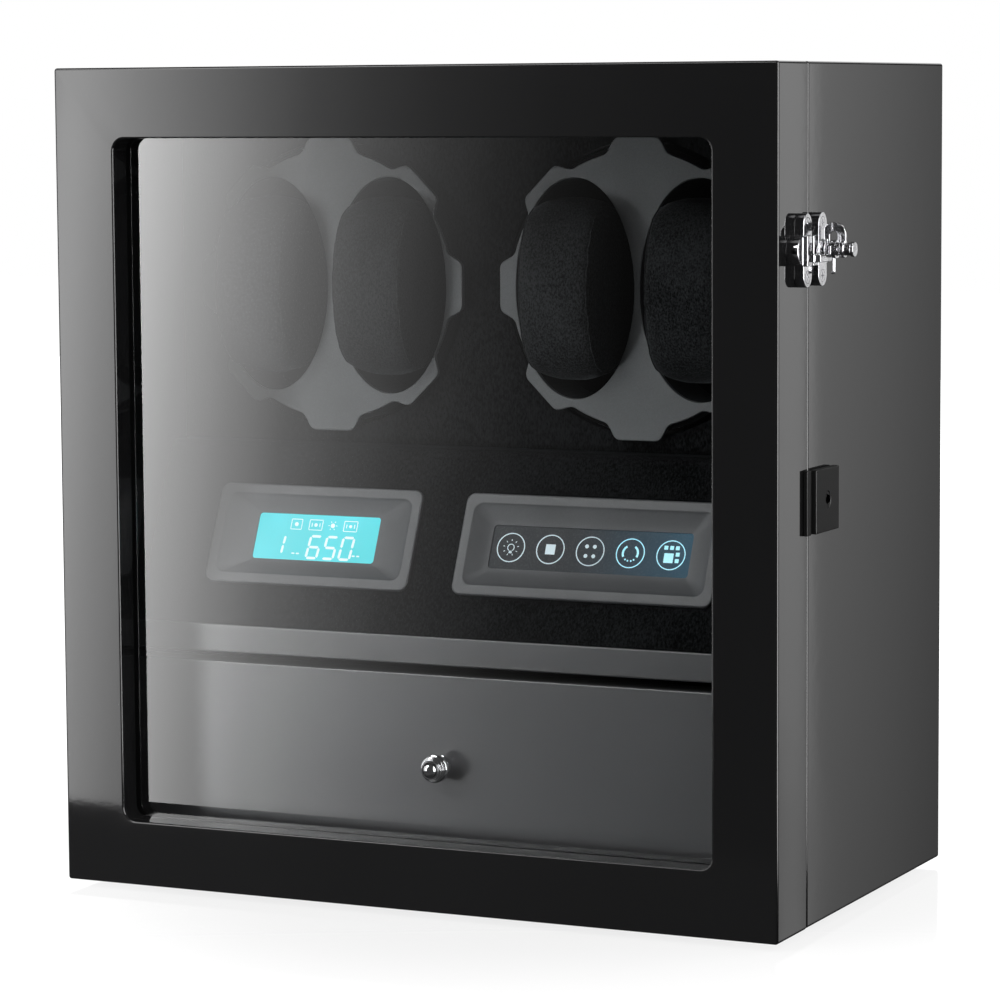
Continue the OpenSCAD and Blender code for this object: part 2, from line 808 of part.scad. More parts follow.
module drawer_front() color("black") placed()
    span([-drawer_half_w, front_y, drawer_z], [drawer_half_w, box_y, drawer_top]);

module drawer_box() color("#181818") placed() difference() {
    span([-box_half, box_y, drawer_z + 1], [box_half, box_y + drawer_box_d, box_top]);
    span([drawer_board_t - box_half, box_y - 1, drawer_z],
         [box_half - drawer_board_t, box_y + drawer_box_d - drawer_board_t, box_top + 1]);
}

module drawer_bottom() color("#181818") placed()
    span([drawer_board_t - box_half, box_y, drawer_z + 1],
         [box_half - drawer_board_t, box_y + drawer_box_d - drawer_board_t, drawer_z + 1 + tray_t]);

module drawer_lining() color("#15151a") placed() difference() {
    skin = 1.5;
    wall = box_half - drawer_board_t;
    back = box_y + drawer_box_d - drawer_board_t;
    span([-wall, box_y, drawer_z + 1 + tray_t], [wall, back, box_top - 2]);
    span([skin - wall, box_y + skin, drawer_z + 1 + tray_t + skin], [wall - skin, back - skin, box_top]);
}

// Stepped ball knob: stem, three rings and a domed end
module drawer_knob() color("silver") placed()
    translate([0, front_y, knob_z]) rotate([90, 0, 0]) rotate_extrude() {
        square([3.2, knob_len - 4]);
        square([4.6, 1.4]);
        translate([0, 4.2]) square([5.2, 1.6]);
        translate([0, 5.8]) square([knob_r, 2.8]);
        translate([0, 8.6]) square([5.5, 1.5]);
        translate([0, 10.1]) square([4.4, 1.4]);
        intersection() {
            translate([0, knob_len - 4.4]) circle(r = 4.4);
            translate([0, knob_len - 5]) square([5, 5]);
        }
    }

top_panel();
bottom_panel();
left_panel();
right_panel();
back_panel();
middle_shelf();
rotor_panel();
console_panel();
upper_lining();
lcd_bezel();
lcd_display();
key_bezel();
key_panel();
control_board();
motor_plate();
motor_left();
motor_right();
spindle_bushes();
drive_belts();
dc_jack();
back_screws();
feet();
hinge_case_leaves();
hinge_pins();
hinge_case_screws();
latch_case_plate();
latch_case_screws();
latch_spring();
lock_plate();
lock_case();
led_strip();
door_frame();
door_glass();
glass_bead();
hinge_door_leaves();
hinge_door_screws();
latch_door_plate();
latch_door_screws();
strike_plate();
rotor_disc_left();
rotor_disc_right();
cup_housing_left();
cup_housing_right();
spindle_left();
spindle_right();
motor_pulley_left();
motor_pulley_right();
cushion_left_a();
cushion_left_b();
cushion_right_a();
cushion_right_b();
drawer_front();
drawer_box();
drawer_bottom();
drawer_lining();
drawer_knob();
latch_hook();
lock_cylinder();
lock_bolt();
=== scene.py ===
"""Looks of the watch winder box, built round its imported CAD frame.

Every shape is worked out in millimetres in the case's own axes: X across from the middle of the case,
Y back from the front face of the door, Z up from the underside of the case. Datum moves it into the frame.
"""
import json
import logging
from dataclasses import dataclass
from enum import Enum
from typing import Any, Iterable, Sequence

import bmesh
import bpy
import numpy as np
from mathutils import Matrix, Vector
from mathutils.bvhtree import BVHTree


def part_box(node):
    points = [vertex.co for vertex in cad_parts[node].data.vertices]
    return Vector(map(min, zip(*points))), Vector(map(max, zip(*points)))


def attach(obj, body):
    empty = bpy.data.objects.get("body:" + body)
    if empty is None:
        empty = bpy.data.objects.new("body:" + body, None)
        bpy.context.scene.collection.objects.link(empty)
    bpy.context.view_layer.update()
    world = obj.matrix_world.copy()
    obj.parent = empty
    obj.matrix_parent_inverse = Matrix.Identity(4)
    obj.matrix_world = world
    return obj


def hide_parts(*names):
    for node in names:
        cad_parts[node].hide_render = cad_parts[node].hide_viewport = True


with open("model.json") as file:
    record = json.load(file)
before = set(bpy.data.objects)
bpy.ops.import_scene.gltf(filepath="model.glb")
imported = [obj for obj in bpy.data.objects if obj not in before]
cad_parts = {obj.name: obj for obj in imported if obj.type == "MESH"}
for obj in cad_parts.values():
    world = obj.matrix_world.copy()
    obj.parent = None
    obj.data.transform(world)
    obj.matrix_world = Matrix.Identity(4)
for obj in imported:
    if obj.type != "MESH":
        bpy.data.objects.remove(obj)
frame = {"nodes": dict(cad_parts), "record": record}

LOG = logging.getLogger("winder")
MM = 0.001
Array = np.ndarray
Object = bpy.types.Object
Colour = tuple[float, float, float]


class Slot(Enum):
    """Material slots of the record."""

    LACQUER = "black_lacquer"
    BOARD = "drawer_board"
    VELVET = "velvet"
    VELVET_BOARD = "velvet_board"
    SUEDE = "cushion_suede"
    GLASS = "clear_glass"
    GREY = "grey_plastic"
    BEZEL = "bezel_plastic"
    CUP = "cup_plastic"
    DISPLAY = "lit_display"
    KEYS = "key_glass"
    CIRCUIT = "circuit_board"
    ZINC = "zinc_steel"
    PULLEY = "pulley_plastic"
    BRONZE = "bronze"
    BELT = "belt_rubber"
    FOOT = "foot_rubber"
    JACK = "jack_plastic"
    LAMP = "lamp_plastic"
    CHROME = "chrome_metal"
    BLACK = "black_metal"


class Look(Enum):
    """Finishes that some pieces wear in place of their slot's own."""

    SATIN = "satin_lacquer"
    FIGURE = "figure_white"
    NEAR_KEY = "near_key_white"
    FAR_KEY = "far_key_blue"


# Shader graph -------------------------------------------------------------------------------


class Value:
    """A shader socket that works in Python arithmetic; each operation adds a Math node."""

    def __init__(self, graph: "Graph", socket: bpy.types.NodeSocket) -> None:
        """Wraps a socket of the graph."""
        self.graph = graph
        self.socket = socket

    def __add__(self, other: "Value | float") -> "Value":
        """Sum."""
        return self.graph.math("ADD", self, other)

    __radd__ = __add__

    def __sub__(self, other: "Value | float") -> "Value":
        """Difference."""
        return self.graph.math("SUBTRACT", self, other)

    def __rsub__(self, other: float) -> "Value":
        """Reflected difference, as in 1 - mask."""
        return self.graph.math("SUBTRACT", other, self)

    def __mul__(self, other: "Value | float") -> "Value":
        """Product."""
        return self.graph.math("MULTIPLY", self, other)

    __rmul__ = __mul__

    def __truediv__(self, other: "Value | float") -> "Value":
        """Quotient."""
        return self.graph.math("DIVIDE", self, other)


class Graph:
    """A node material under construction."""

    def __init__(self, name: str) -> None:
        """Makes an empty node material of that name."""
        self.material = bpy.data.materials.new(name)
        self.material.use_nodes = True
        self.tree = self.material.node_tree
        self.tree.nodes.clear()

    def node(self, kind: str, settings: dict[str, Any] | None = None,
             inputs: dict[str | int, Any] | None = None, out: str | int = 0) -> Value:
        """Adds one node.

        Args:
            kind: type of the node.
            settings: attributes set first; "stops" are a colour ramp's (place, colour) pairs.
            inputs: values or links of the sockets, by name or number.
            out: the socket that the result stands for.

        Returns:
            The chosen output.
        """
        node = self.tree.nodes.new(kind)
        for key, value in (settings or {}).items():
            if key == "stops":
                ramp = node.color_ramp
                for place, colour in value[2:]:
                    ramp.elements.new(place)
                for element, (place, colour) in zip(ramp.elements, sorted(value)):
                    element.position = place
                    element.color = (*colour, 1.0)
            else:
                setattr(node, key, value)
        for key, value in (inputs or {}).items():
            socket = node.inputs[key]
            if isinstance(value, Value):
                self.tree.links.new(value.socket, socket)
            elif isinstance(value, tuple) and len(value) == 3 and socket.type == "RGBA":
                socket.default_value = (*value, 1.0)
            else:
                socket.default_value = value
        return Value(self, node.outputs[out])

    def math(self, operation: str, first: Value | float, second: Value | float = 0.0) -> Value:
        """One Math node."""
        return self.node("ShaderNodeMath", {"operation": operation}, {0: first, 1: second})

    def ramp(self, value: Value, *stops: tuple[float, Colour]) -> Value:
        """Colour ramp over stops of place and colour."""
        return self.node("ShaderNodeValToRGB", {"stops": list(stops)}, {"Fac": value})

    def steps(self, value: Value, low: float, high: float) -> Value:
        """0 below low, 1 above high and a smooth step between them."""
        return self.node("ShaderNodeMapRange", {"interpolation_type": "SMOOTHSTEP"},
                         {"Value": value, "From Min": low, "From Max": high})

    def place(self, scale: Sequence[float] = (1.0, 1.0, 1.0)) -> Value:
        """Object coordinates in metres times a scale for each axis."""
        where = self.node("ShaderNodeTexCoord", out="Object")
        return self.node("ShaderNodeMapping", {}, {"Vector": where, "Scale": tuple(scale)})

    def axis(self, which: str) -> Value:
        """One object coordinate in metres."""
        return self.node("ShaderNodeSeparateXYZ", {}, {0: self.place()}, out=which)

    def noise(self, scale: float, detail: float = 2.0, stretch: Sequence[float] = (1.0, 1.0, 1.0),
              roughness: float = 0.5) -> Value:
        """Fractal noise of that many cells a metre, from 0 to 1."""
        return self.node("ShaderNodeTexNoise", {}, {"Vector": self.place(stretch), "Scale": scale,
                                                    "Detail": detail, "Roughness": roughness})

    def cells(self, scale: float, stretch: Sequence[float] = (1.0, 1.0, 1.0)) -> Value:
        """Distance to the nearest of scattered points."""
        return self.node("ShaderNodeTexVoronoi", {}, {"Vector": self.place(stretch), "Scale": scale},
                         out="Distance")

    def mix(self, share: Value, first: Any, second: Any) -> Value:
        """Colour that runs from the first at share 0 to the second at 1."""
        return self.node("ShaderNodeMix", {"data_type": "RGBA"}, {0: share, 6: first, 7: second}, out=2)

    def bump(self, height: Value, depth_mm: float, strength: float = 1.0) -> Value:
        """Normal of a surface raised by height times a depth in millimetres."""
        return self.node("ShaderNodeBump", {}, {"Height": height, "Distance": depth_mm * MM,
                                                "Strength": strength})

    def principled(self, **sockets: Any) -> Value:
        """Principled shader; a socket's name is written with _ for a space."""
        return self.node("ShaderNodeBsdfPrincipled", {},
                         {key.replace("_", " "): value for key, value in sockets.items()})

    def close(self, shader: Value) -> bpy.types.Material:
        """Joins the shader to the output.

        Returns:
            The finished material.
        """
        end = self.tree.nodes.new("ShaderNodeOutputMaterial")
        self.tree.links.new(shader.socket, end.inputs[0])
        return self.material


# Finishes -----------------------------------------------------------------------------------


@dataclass(frozen=True)
class Lacquer:
    """Polished or satin lacquer over board, with a faint orange peel and handling haze."""

    name: str
    base: Colour = (0.0098, 0.0098, 0.0101)
    roughness: float = 0.035
    haze: float = 0.03
    peel_mm: float = 0.004
    index: float = 1.5

    def build(self) -> bpy.types.Material:
        """Makes the material."""
        g = Graph(self.name)
        cloud = g.noise(9.0, 4.0)
        speck = g.steps(g.cells(420.0), 0.05, 0.0)
        colour = g.mix(cloud, self.base, tuple(c * 1.35 for c in self.base))
        rough = self.roughness + self.haze * g.steps(cloud, 0.45, 0.75) + 0.1 * speck
        peel = g.noise(130.0, 2.0) + 0.25 * g.noise(900.0, 1.0)
        return g.close(g.principled(Base_Color=colour, Roughness=rough, IOR=self.index,
                                    Normal=g.bump(peel, self.peel_mm)))


@dataclass(frozen=True)
class Pile:
    """Short-pile cloth such as velvet or suede: speckled nap, brushed patches and a soft sheen."""

    name: str
    dark: Colour
    light: Colour
    grain: float = 1500.0
    nap: tuple[float, float, float] = (1.0, 1.0, 0.45)
    depth_mm: float = 0.08
    sheen: float = 0.06
    shine: float = 0.1

    def build(self) -> bpy.types.Material:
        """Makes the material."""
        g = Graph(self.name)
        fibre = g.noise(self.grain, 3.0, self.nap, 0.7)
        patch = g.noise(28.0, 3.0)
        share = g.steps(0.75 * fibre + 0.25 * patch, 0.36, 0.66)
        colour = g.mix(share, self.dark, self.light)
        height = fibre + 0.5 * g.noise(self.grain * 0.3, 2.0, self.nap)
        return g.close(g.principled(Base_Color=colour, Roughness=0.95, Sheen_Weight=self.sheen,
                                    Sheen_Roughness=0.45, Sheen_Tint=(0.75, 0.8, 0.85),
                                    Specular_IOR_Level=self.shine, Normal=g.bump(height, self.depth_mm)))


@dataclass(frozen=True)
class Moulded:
    """Moulded plastic or rubber with a fine texture and slight colour drift."""

    name: str
    base: Colour
    roughness: float = 0.45
    grain: float = 1800.0
    depth_mm: float = 0.03
    coat: float = 0.0

    def build(self) -> bpy.types.Material:
        """Makes the material."""
        g = Graph(self.name)
        drift = g.noise(35.0, 3.0)
        fleck = g.noise(self.grain, 2.0)
        colour = g.mix(g.steps(0.5 * drift + 0.5 * fleck, 0.3, 0.7), tuple(c * 0.86 for c in self.base),
                       tuple(c * 1.12 for c in self.base))
        rough = self.roughness - 0.05 + 0.1 * drift
        return g.close(g.principled(Base_Color=colour, Roughness=rough, Coat_Weight=self.coat,
                                    Coat_Roughness=0.12, Normal=g.bump(fleck, self.depth_mm)))


@dataclass(frozen=True)
class Metal:
    """Plated or brushed metal with smudges and fine scratches along one axis."""

    name: str
    base: Colour = (0.82, 0.82, 0.84)
    roughness: float = 0.06
    brush: tuple[float, float, float] = (1.0, 1.0, 8.0)
    depth_mm: float = 0.004

    def build(self) -> bpy.types.Material:
        """Makes the material."""
        g = Graph(self.name)
        smudge = g.noise(160.0, 3.0)
        scratch = g.noise(1400.0, 2.0, self.brush)
        colour = g.mix(smudge, tuple(c * 0.9 for c in self.base), self.base)
        rough = self.roughness + 0.12 * g.steps(smudge, 0.5, 0.8) + 0.05 * scratch
        return g.close(g.principled(Base_Color=colour, Metallic=1.0, Roughness=rough,
                                    Normal=g.bump(scratch, self.depth_mm)))


@dataclass(frozen=True)
class ClearPane:
    """Float glass: clear, with a mirror share that grows towards grazing angles, and faint dust."""

    name: str
    tint: Colour = (0.97, 0.975, 0.975)
    mirror: float = 2.6

    def build(self) -> bpy.types.Material:
        """Makes the material: a mirror share over clear, from the front faces only."""
        g = Graph(self.name)
        dust = g.steps(g.cells(260.0), 0.03, 0.0) * 0.02
        facing = g.node("ShaderNodeNewGeometry", out="Backfacing")
        share = (1.0 - facing) * (self.mirror * g.node("ShaderNodeFresnel", {}, {"IOR": 1.5}) + dust)
        clear = g.node("ShaderNodeBsdfTransparent", {}, {"Color": self.tint})
        shine = g.node("ShaderNodeBsdfGlossy", {}, {"Color": (1.0, 1.0, 1.0), "Roughness": 0.0})
        return g.close(g.node("ShaderNodeMixShader", {}, {0: share, 1: clear, 2: shine}))


@dataclass(frozen=True)
class Glow:
    """Backlit plastic: a lit colour that drifts over the pane, on a darker base."""

    name: str
    dim: Colour
    lit: Colour
    strength: float = 1.0
    scale: float = 22.0

    def build(self) -> bpy.types.Material:
        """Makes the material."""
        g = Graph(self.name)
        drift = g.steps(g.noise(self.scale, 2.0), 0.3, 0.7)
        colour = g.mix(drift, self.dim, self.lit)
        return g.close(g.principled(Base_Color=(0.02, 0.03, 0.03), Roughness=0.3,
                                    Emission_Color=colour, Emission_Strength=self.strength))


@dataclass(frozen=True)
class KeyGlass:
    """Grey touch panel whose far end is lit blue from behind."""

    name: str
    near_x: float
    far_x: float

    def build(self) -> bpy.types.Material:
        """Makes the material; the blue sets in by a smooth step a third of the way across."""
        g = Graph(self.name)
        way = (g.axis("X") - self.near_x) / (self.far_x - self.near_x)
        fine = g.noise(1500.0, 2.0)
        glow = g.steps(way, 0.35, 1.3) * (0.8 + 0.4 * g.noise(60.0, 2.0))
        colour = g.mix(fine, (0.014, 0.015, 0.017), (0.02, 0.022, 0.024))
        lit = g.mix(glow, (0.004, 0.006, 0.008), (0.012, 0.075, 0.125))
        return g.close(g.principled(Base_Color=colour, Roughness=0.24 + 0.06 * fine,
                                    Specular_IOR_Level=0.15, Emission_Color=lit,
                                    Emission_Strength=1.0, Normal=g.bump(fine, 0.01)))


@dataclass(frozen=True)
class Circuit:
    """Green circuit board with copper tracks under the varnish."""

    name: str

    def build(self) -> bpy.types.Material:
        """Makes the material."""
        g = Graph(self.name)
        track = g.node("ShaderNodeTexBrick", {}, {"Vector": g.place(), "Scale": 90.0,
                                                  "Mortar Size": 0.05}, out="Fac")
        colour = g.mix(track, (0.012, 0.09, 0.035), (0.05, 0.2, 0.07))
        return g.close(g.principled(Base_Color=colour, Roughness=0.35, Coat_Weight=0.5,
                                    Normal=g.bump(track, 0.05)))


def finishes(keys_low: float, keys_high: float) -> dict[Slot | Look, Any]:
    """The finish of each slot and of each look.

    Args:
        keys_low: X in metres of the near end of the touch panel.
        keys_high: X in metres of its far end.

    Returns:
        A finish for each of them.
    """
    return {
        Slot.LACQUER: Lacquer("black_lacquer"),
        Slot.BOARD: Moulded("drawer_board", (0.012, 0.012, 0.013), 0.6, 700.0, 0.05),
        Slot.VELVET: Pile("velvet", (0.0006, 0.0007, 0.0008), (0.004, 0.0045, 0.005), 1900.0,
                          sheen=0.03, shine=0.02),
        Slot.VELVET_BOARD: Pile("velvet_board", (0.0006, 0.0007, 0.0008), (0.013, 0.0138, 0.0146),
                                1150.0, sheen=0.03, shine=0.03),
        Slot.SUEDE: Pile("cushion_suede", (0.001, 0.0012, 0.0013), (0.034, 0.036, 0.038), 1450.0,
                         (1.0, 1.0, 0.6), 0.18, 0.08),
        Slot.GLASS: ClearPane("clear_glass"),
        Slot.GREY: Moulded("grey_plastic", (0.125, 0.13, 0.134), 0.42, 2200.0, 0.01),
        Slot.BEZEL: Moulded("bezel_plastic", (0.088, 0.09, 0.095), 0.42, 2200.0, 0.01),
        Slot.CUP: Pile("cup_plastic", (0.0015, 0.0015, 0.0015), (0.006, 0.006, 0.0065), 1800.0),
        Slot.DISPLAY: Glow("lit_display", (0.0, 0.64, 0.7), (0.02, 0.76, 0.86), 1.0),
        Slot.KEYS: KeyGlass("key_glass", keys_low, keys_high),
        Slot.CIRCUIT: Circuit("circuit_board"),
        Slot.ZINC: Metal("zinc_steel", (0.5, 0.52, 0.55), 0.3),
        Slot.PULLEY: Moulded("pulley_plastic", (0.62, 0.62, 0.6), 0.4),
        Slot.BRONZE: Metal("bronze", (0.5, 0.3, 0.13), 0.32, (1.0, 6.0, 1.0)),
        Slot.BELT: Moulded("belt_rubber", (0.012, 0.012, 0.012), 0.75, 900.0, 0.1),
        Slot.FOOT: Moulded("foot_rubber", (0.012, 0.012, 0.012), 0.7, 900.0, 0.1),
        Slot.JACK: Moulded("jack_plastic", (0.01, 0.01, 0.011), 0.4),
        Slot.LAMP: Moulded("lamp_plastic", (0.7, 0.7, 0.66), 0.35, 900.0, 0.03, 0.3),
        Slot.CHROME: Metal("chrome_metal"),
        Slot.BLACK: Moulded("black_metal", (0.008, 0.008, 0.008), 0.5, 2600.0, 0.01),
        Look.SATIN: Lacquer("satin_lacquer", (0.048, 0.0485, 0.051), 0.34, 0.03, index=2.1),
        Look.FIGURE: Glow("figure_white", (0.75, 0.95, 1.0), (0.9, 1.0, 1.0), 1.0),
        Look.NEAR_KEY: Glow("near_key_white", (0.5, 0.62, 0.68), (0.7, 0.85, 0.92), 0.9),
        Look.FAR_KEY: Glow("far_key_blue", (0.3, 0.75, 0.95), (0.5, 0.9, 1.0), 1.2),
    }


# Meshes -------------------------------------------------------------------------------------


@dataclass(frozen=True)
class Datum:
    """The case's own origin in the frame, in metres."""

    x: float
    y: float
    z: float

    @classmethod
    def from_frame(cls) -> "Datum":
        """Middle of the door's width, its front face and its lower edge."""
        low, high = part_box("door_frame")
        return cls((low.x + high.x) / 2, low.y, low.z)

    @property
    def origin(self) -> Array:
        """The origin as an array."""
        return np.array([self.x, self.y, self.z])

    def span(self, node: str) -> tuple[Array, Array]:
        """Lowest and highest corner of a CAD node in case millimetres."""
        low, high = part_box(node)
        return (np.array(low) - self.origin) / MM, (np.array(high) - self.origin) / MM

    def middle(self, node: str) -> Array:
        """Middle of a CAD node's box in case millimetres."""
        low, high = self.span(node)
        return (low + high) / 2

    def in_case(self, points: Array) -> Array:
        """Points of the frame, in metres, as case millimetres."""
        return (points - self.origin) / MM

    def in_frame(self, points: Any) -> Array:
        """Points in case millimetres as points of the frame, in metres."""
        return np.asarray(points) * MM + self.origin


@dataclass
class Surface:
    """Points in case millimetres, and faces as rows of point numbers."""

    points: Array
    faces: list[Sequence[int]]

    def moved(self, matrix: Array, shift: Sequence[float]) -> "Surface":
        """The surface with its points times a matrix plus a shift."""
        return Surface(self.points @ np.asarray(matrix, float).T + np.asarray(shift, float), self.faces)

    def shifted(self, shift: Sequence[float]) -> "Surface":
        """The surface with its points moved by a shift."""
        return Surface(self.points + np.asarray(shift, float), self.faces)


def rounded_rect(low: Sequence[float], high: Sequence[float], radius: float, steps: int = 6) -> Array:
    """Outline of a rectangle with round corners, anticlockwise.

    Each corner is a quarter circle: its centre plus radius times (cos t, sin t).

    Args:
        low: lower left corner.
        high: upper right corner.
        radius: radius of the corners.
        steps: points on each corner.

    Returns:
        4 times steps points in 2D.
    """
    quarter = np.linspace(0, np.pi / 2, steps)
    t = (quarter + np.arange(4)[:, None] * np.pi / 2).ravel()
    x = np.repeat([high[0] - radius, low[0] + radius, low[0] + radius, high[0] - radius], steps)
    z = np.repeat([high[1] - radius, high[1] - radius, low[1] + radius, low[1] + radius], steps)
    return np.stack([x + radius * np.cos(t), z + radius * np.sin(t)], 1)


def arc(start: float, end: float, steps: int = 5) -> Array:
    """Points (cos t, sin t) from start to end in degrees."""
    t = np.radians(np.linspace(start, end, steps))
    return np.stack([np.cos(t), np.sin(t)], 1)


def loft(rings: Array, closed: bool = False, capped: bool = True) -> Surface:
    """Skin over rings of equally many points: face (i, j) joins points j and j + 1 of rings i and i + 1.

    Args:
        rings: points by ring, place on the ring and axis.
        closed: the last ring is joined to the first one.
        capped: the first and last rings are closed by a face each.

    Returns:
        The surface.
    """
    rings = np.asarray(rings, float)
    count, around = rings.shape[:2]
    index = np.arange(count * around).reshape(count, around)
    if closed:
        index = np.vstack([index, index[:1]])
    nearer, further = index[:-1], index[1:]
    quads = np.stack([nearer, np.roll(nearer, -1, 1), np.roll(further, -1, 1), further], -1).reshape(-1, 4)
    faces: list[Sequence[int]] = quads.tolist()
    if capped and not closed:
        faces += [index[0][::-1].tolist(), index[-1].tolist()]
    return Surface(rings.reshape(-1, 3), faces)


def lathe(profile: Sequence[Sequence[float]], steps: int = 48) -> Surface:
    """Solid of revolution about Z: ring i has radius r_i at height h_i.

    Args:
        profile: radius and height of each ring, from end to end.
        steps: points on each ring.

    Returns:
        The capped surface.
    """
    radius, height = np.asarray(profile, float).T
    t = np.linspace(0, 2 * np.pi, steps, endpoint=False)
    rings = np.stack([radius[:, None] * np.cos(t), radius[:, None] * np.sin(t),
                      np.broadcast_to(height[:, None], (len(radius), steps))], -1)
    return loft(rings)


def tube(path: Array, radius: float, sides: int = 10, closed: bool = False) -> Surface:
    """Round tube along a path: each ring stands square to the path, in the frame of its tangent.

    Args:
        path: points along the middle.
        radius: radius of the tube.
        sides: points on each ring.
        closed: the path is a loop.

    Returns:
        The surface.
    """
    ahead = np.roll(path, -1, 0) - np.roll(path, 1, 0)
    if not closed:
        ahead[0], ahead[-1] = path[1] - path[0], path[-1] - path[-2]
    tangent = ahead / np.linalg.norm(ahead, axis=1)[:, None]
    flat = np.argmin(np.abs(tangent).sum(0))
    side = np.cross(tangent, np.eye(3)[flat])
    side /= np.linalg.norm(side, axis=1)[:, None]
    up = np.cross(tangent, side)
    t = np.linspace(0, 2 * np.pi, sides, endpoint=False)
    rings = path[:, None] + radius * (np.cos(t)[None, :, None] * side[:, None]
                                      + np.sin(t)[None, :, None] * up[:, None])
    return loft(rings, closed=closed)


def block(low: Sequence[float], high: Sequence[float]) -> Surface:
    """Rectangular block between two corners."""
    rings = [np.column_stack([rounded_rect(low[:2], high[:2], 0.0, 1), np.full(4, z)])
             for z in (low[2], high[2])]
    return loft(np.array(rings))


def slab(outline: Array, low: float, high: float) -> Surface:
    """Upright slab over a 2D outline, from height low to high."""
    rings = [np.column_stack([outline, np.full(len(outline), z)]) for z in (low, high)]
    return loft(np.array(rings))


def joined(parts: Iterable[Surface]) -> Surface:
    """Several surfaces as one."""
    points, faces, start = [], [], 0
    for part in parts:
        points.append(part.points)
        faces += [[start + i for i in face] for face in part.faces]
        start += len(part.points)
    return Surface(np.vstack(points), faces)


def fillet(corners: Array, radii: Sequence[float], steps: int = 5) -> Array:
    """Closed outline whose corners are rounded by quadratic curves.

    A corner P with neighbours A and B becomes (1-t)^2 P_a + 2t(1-t) P + t^2 P_b, where P_a and P_b
    lie radius away from P towards A and B.

    Args:
        corners: the outline's corners.
        radii: how far each rounding reaches from its corner.
        steps: points on each rounded corner.

    Returns:
        The rounded outline.
    """
    reach = np.asarray(radii, float)[:, None]
    before, after = np.roll(corners, 1, 0) - corners, np.roll(corners, -1, 0) - corners
    before /= np.linalg.norm(before, axis=1)[:, None]
    after /= np.linalg.norm(after, axis=1)[:, None]
    t = np.linspace(0, 1, steps)[None, :, None]
    curve = ((1 - t) ** 2 * (corners + reach * before)[:, None] + 2 * t * (1 - t) * corners[:, None]
             + t ** 2 * (corners + reach * after)[:, None])
    return curve.reshape(-1, 2)


TO_FRONT = np.array([[1, 0, 0], [0, 0, -1], [0, 1, 0]], float)
TO_SIDE = np.array([[0, 0, 1], [1, 0, 0], [0, 1, 0]], float)


# Workshop -----------------------------------------------------------------------------------


def linked(name: str, data: bpy.types.ID) -> Object:
    """A new object of the scene that shows the data."""
    made = bpy.data.objects.new(name, data)
    bpy.context.scene.collection.objects.link(made)
    return made


def evaluated(made: Object) -> bpy.types.Mesh:
    """A new mesh of what an object's modifiers or curve settings make of it."""
    graph = bpy.context.evaluated_depsgraph_get()
    return bpy.data.meshes.new_from_object(made.evaluated_get(graph))


def smooth_shaded(made: Object) -> None:
    """Shades all faces of an object smooth."""
    made.data.polygons.foreach_set("use_smooth", np.ones(len(made.data.polygons), bool))


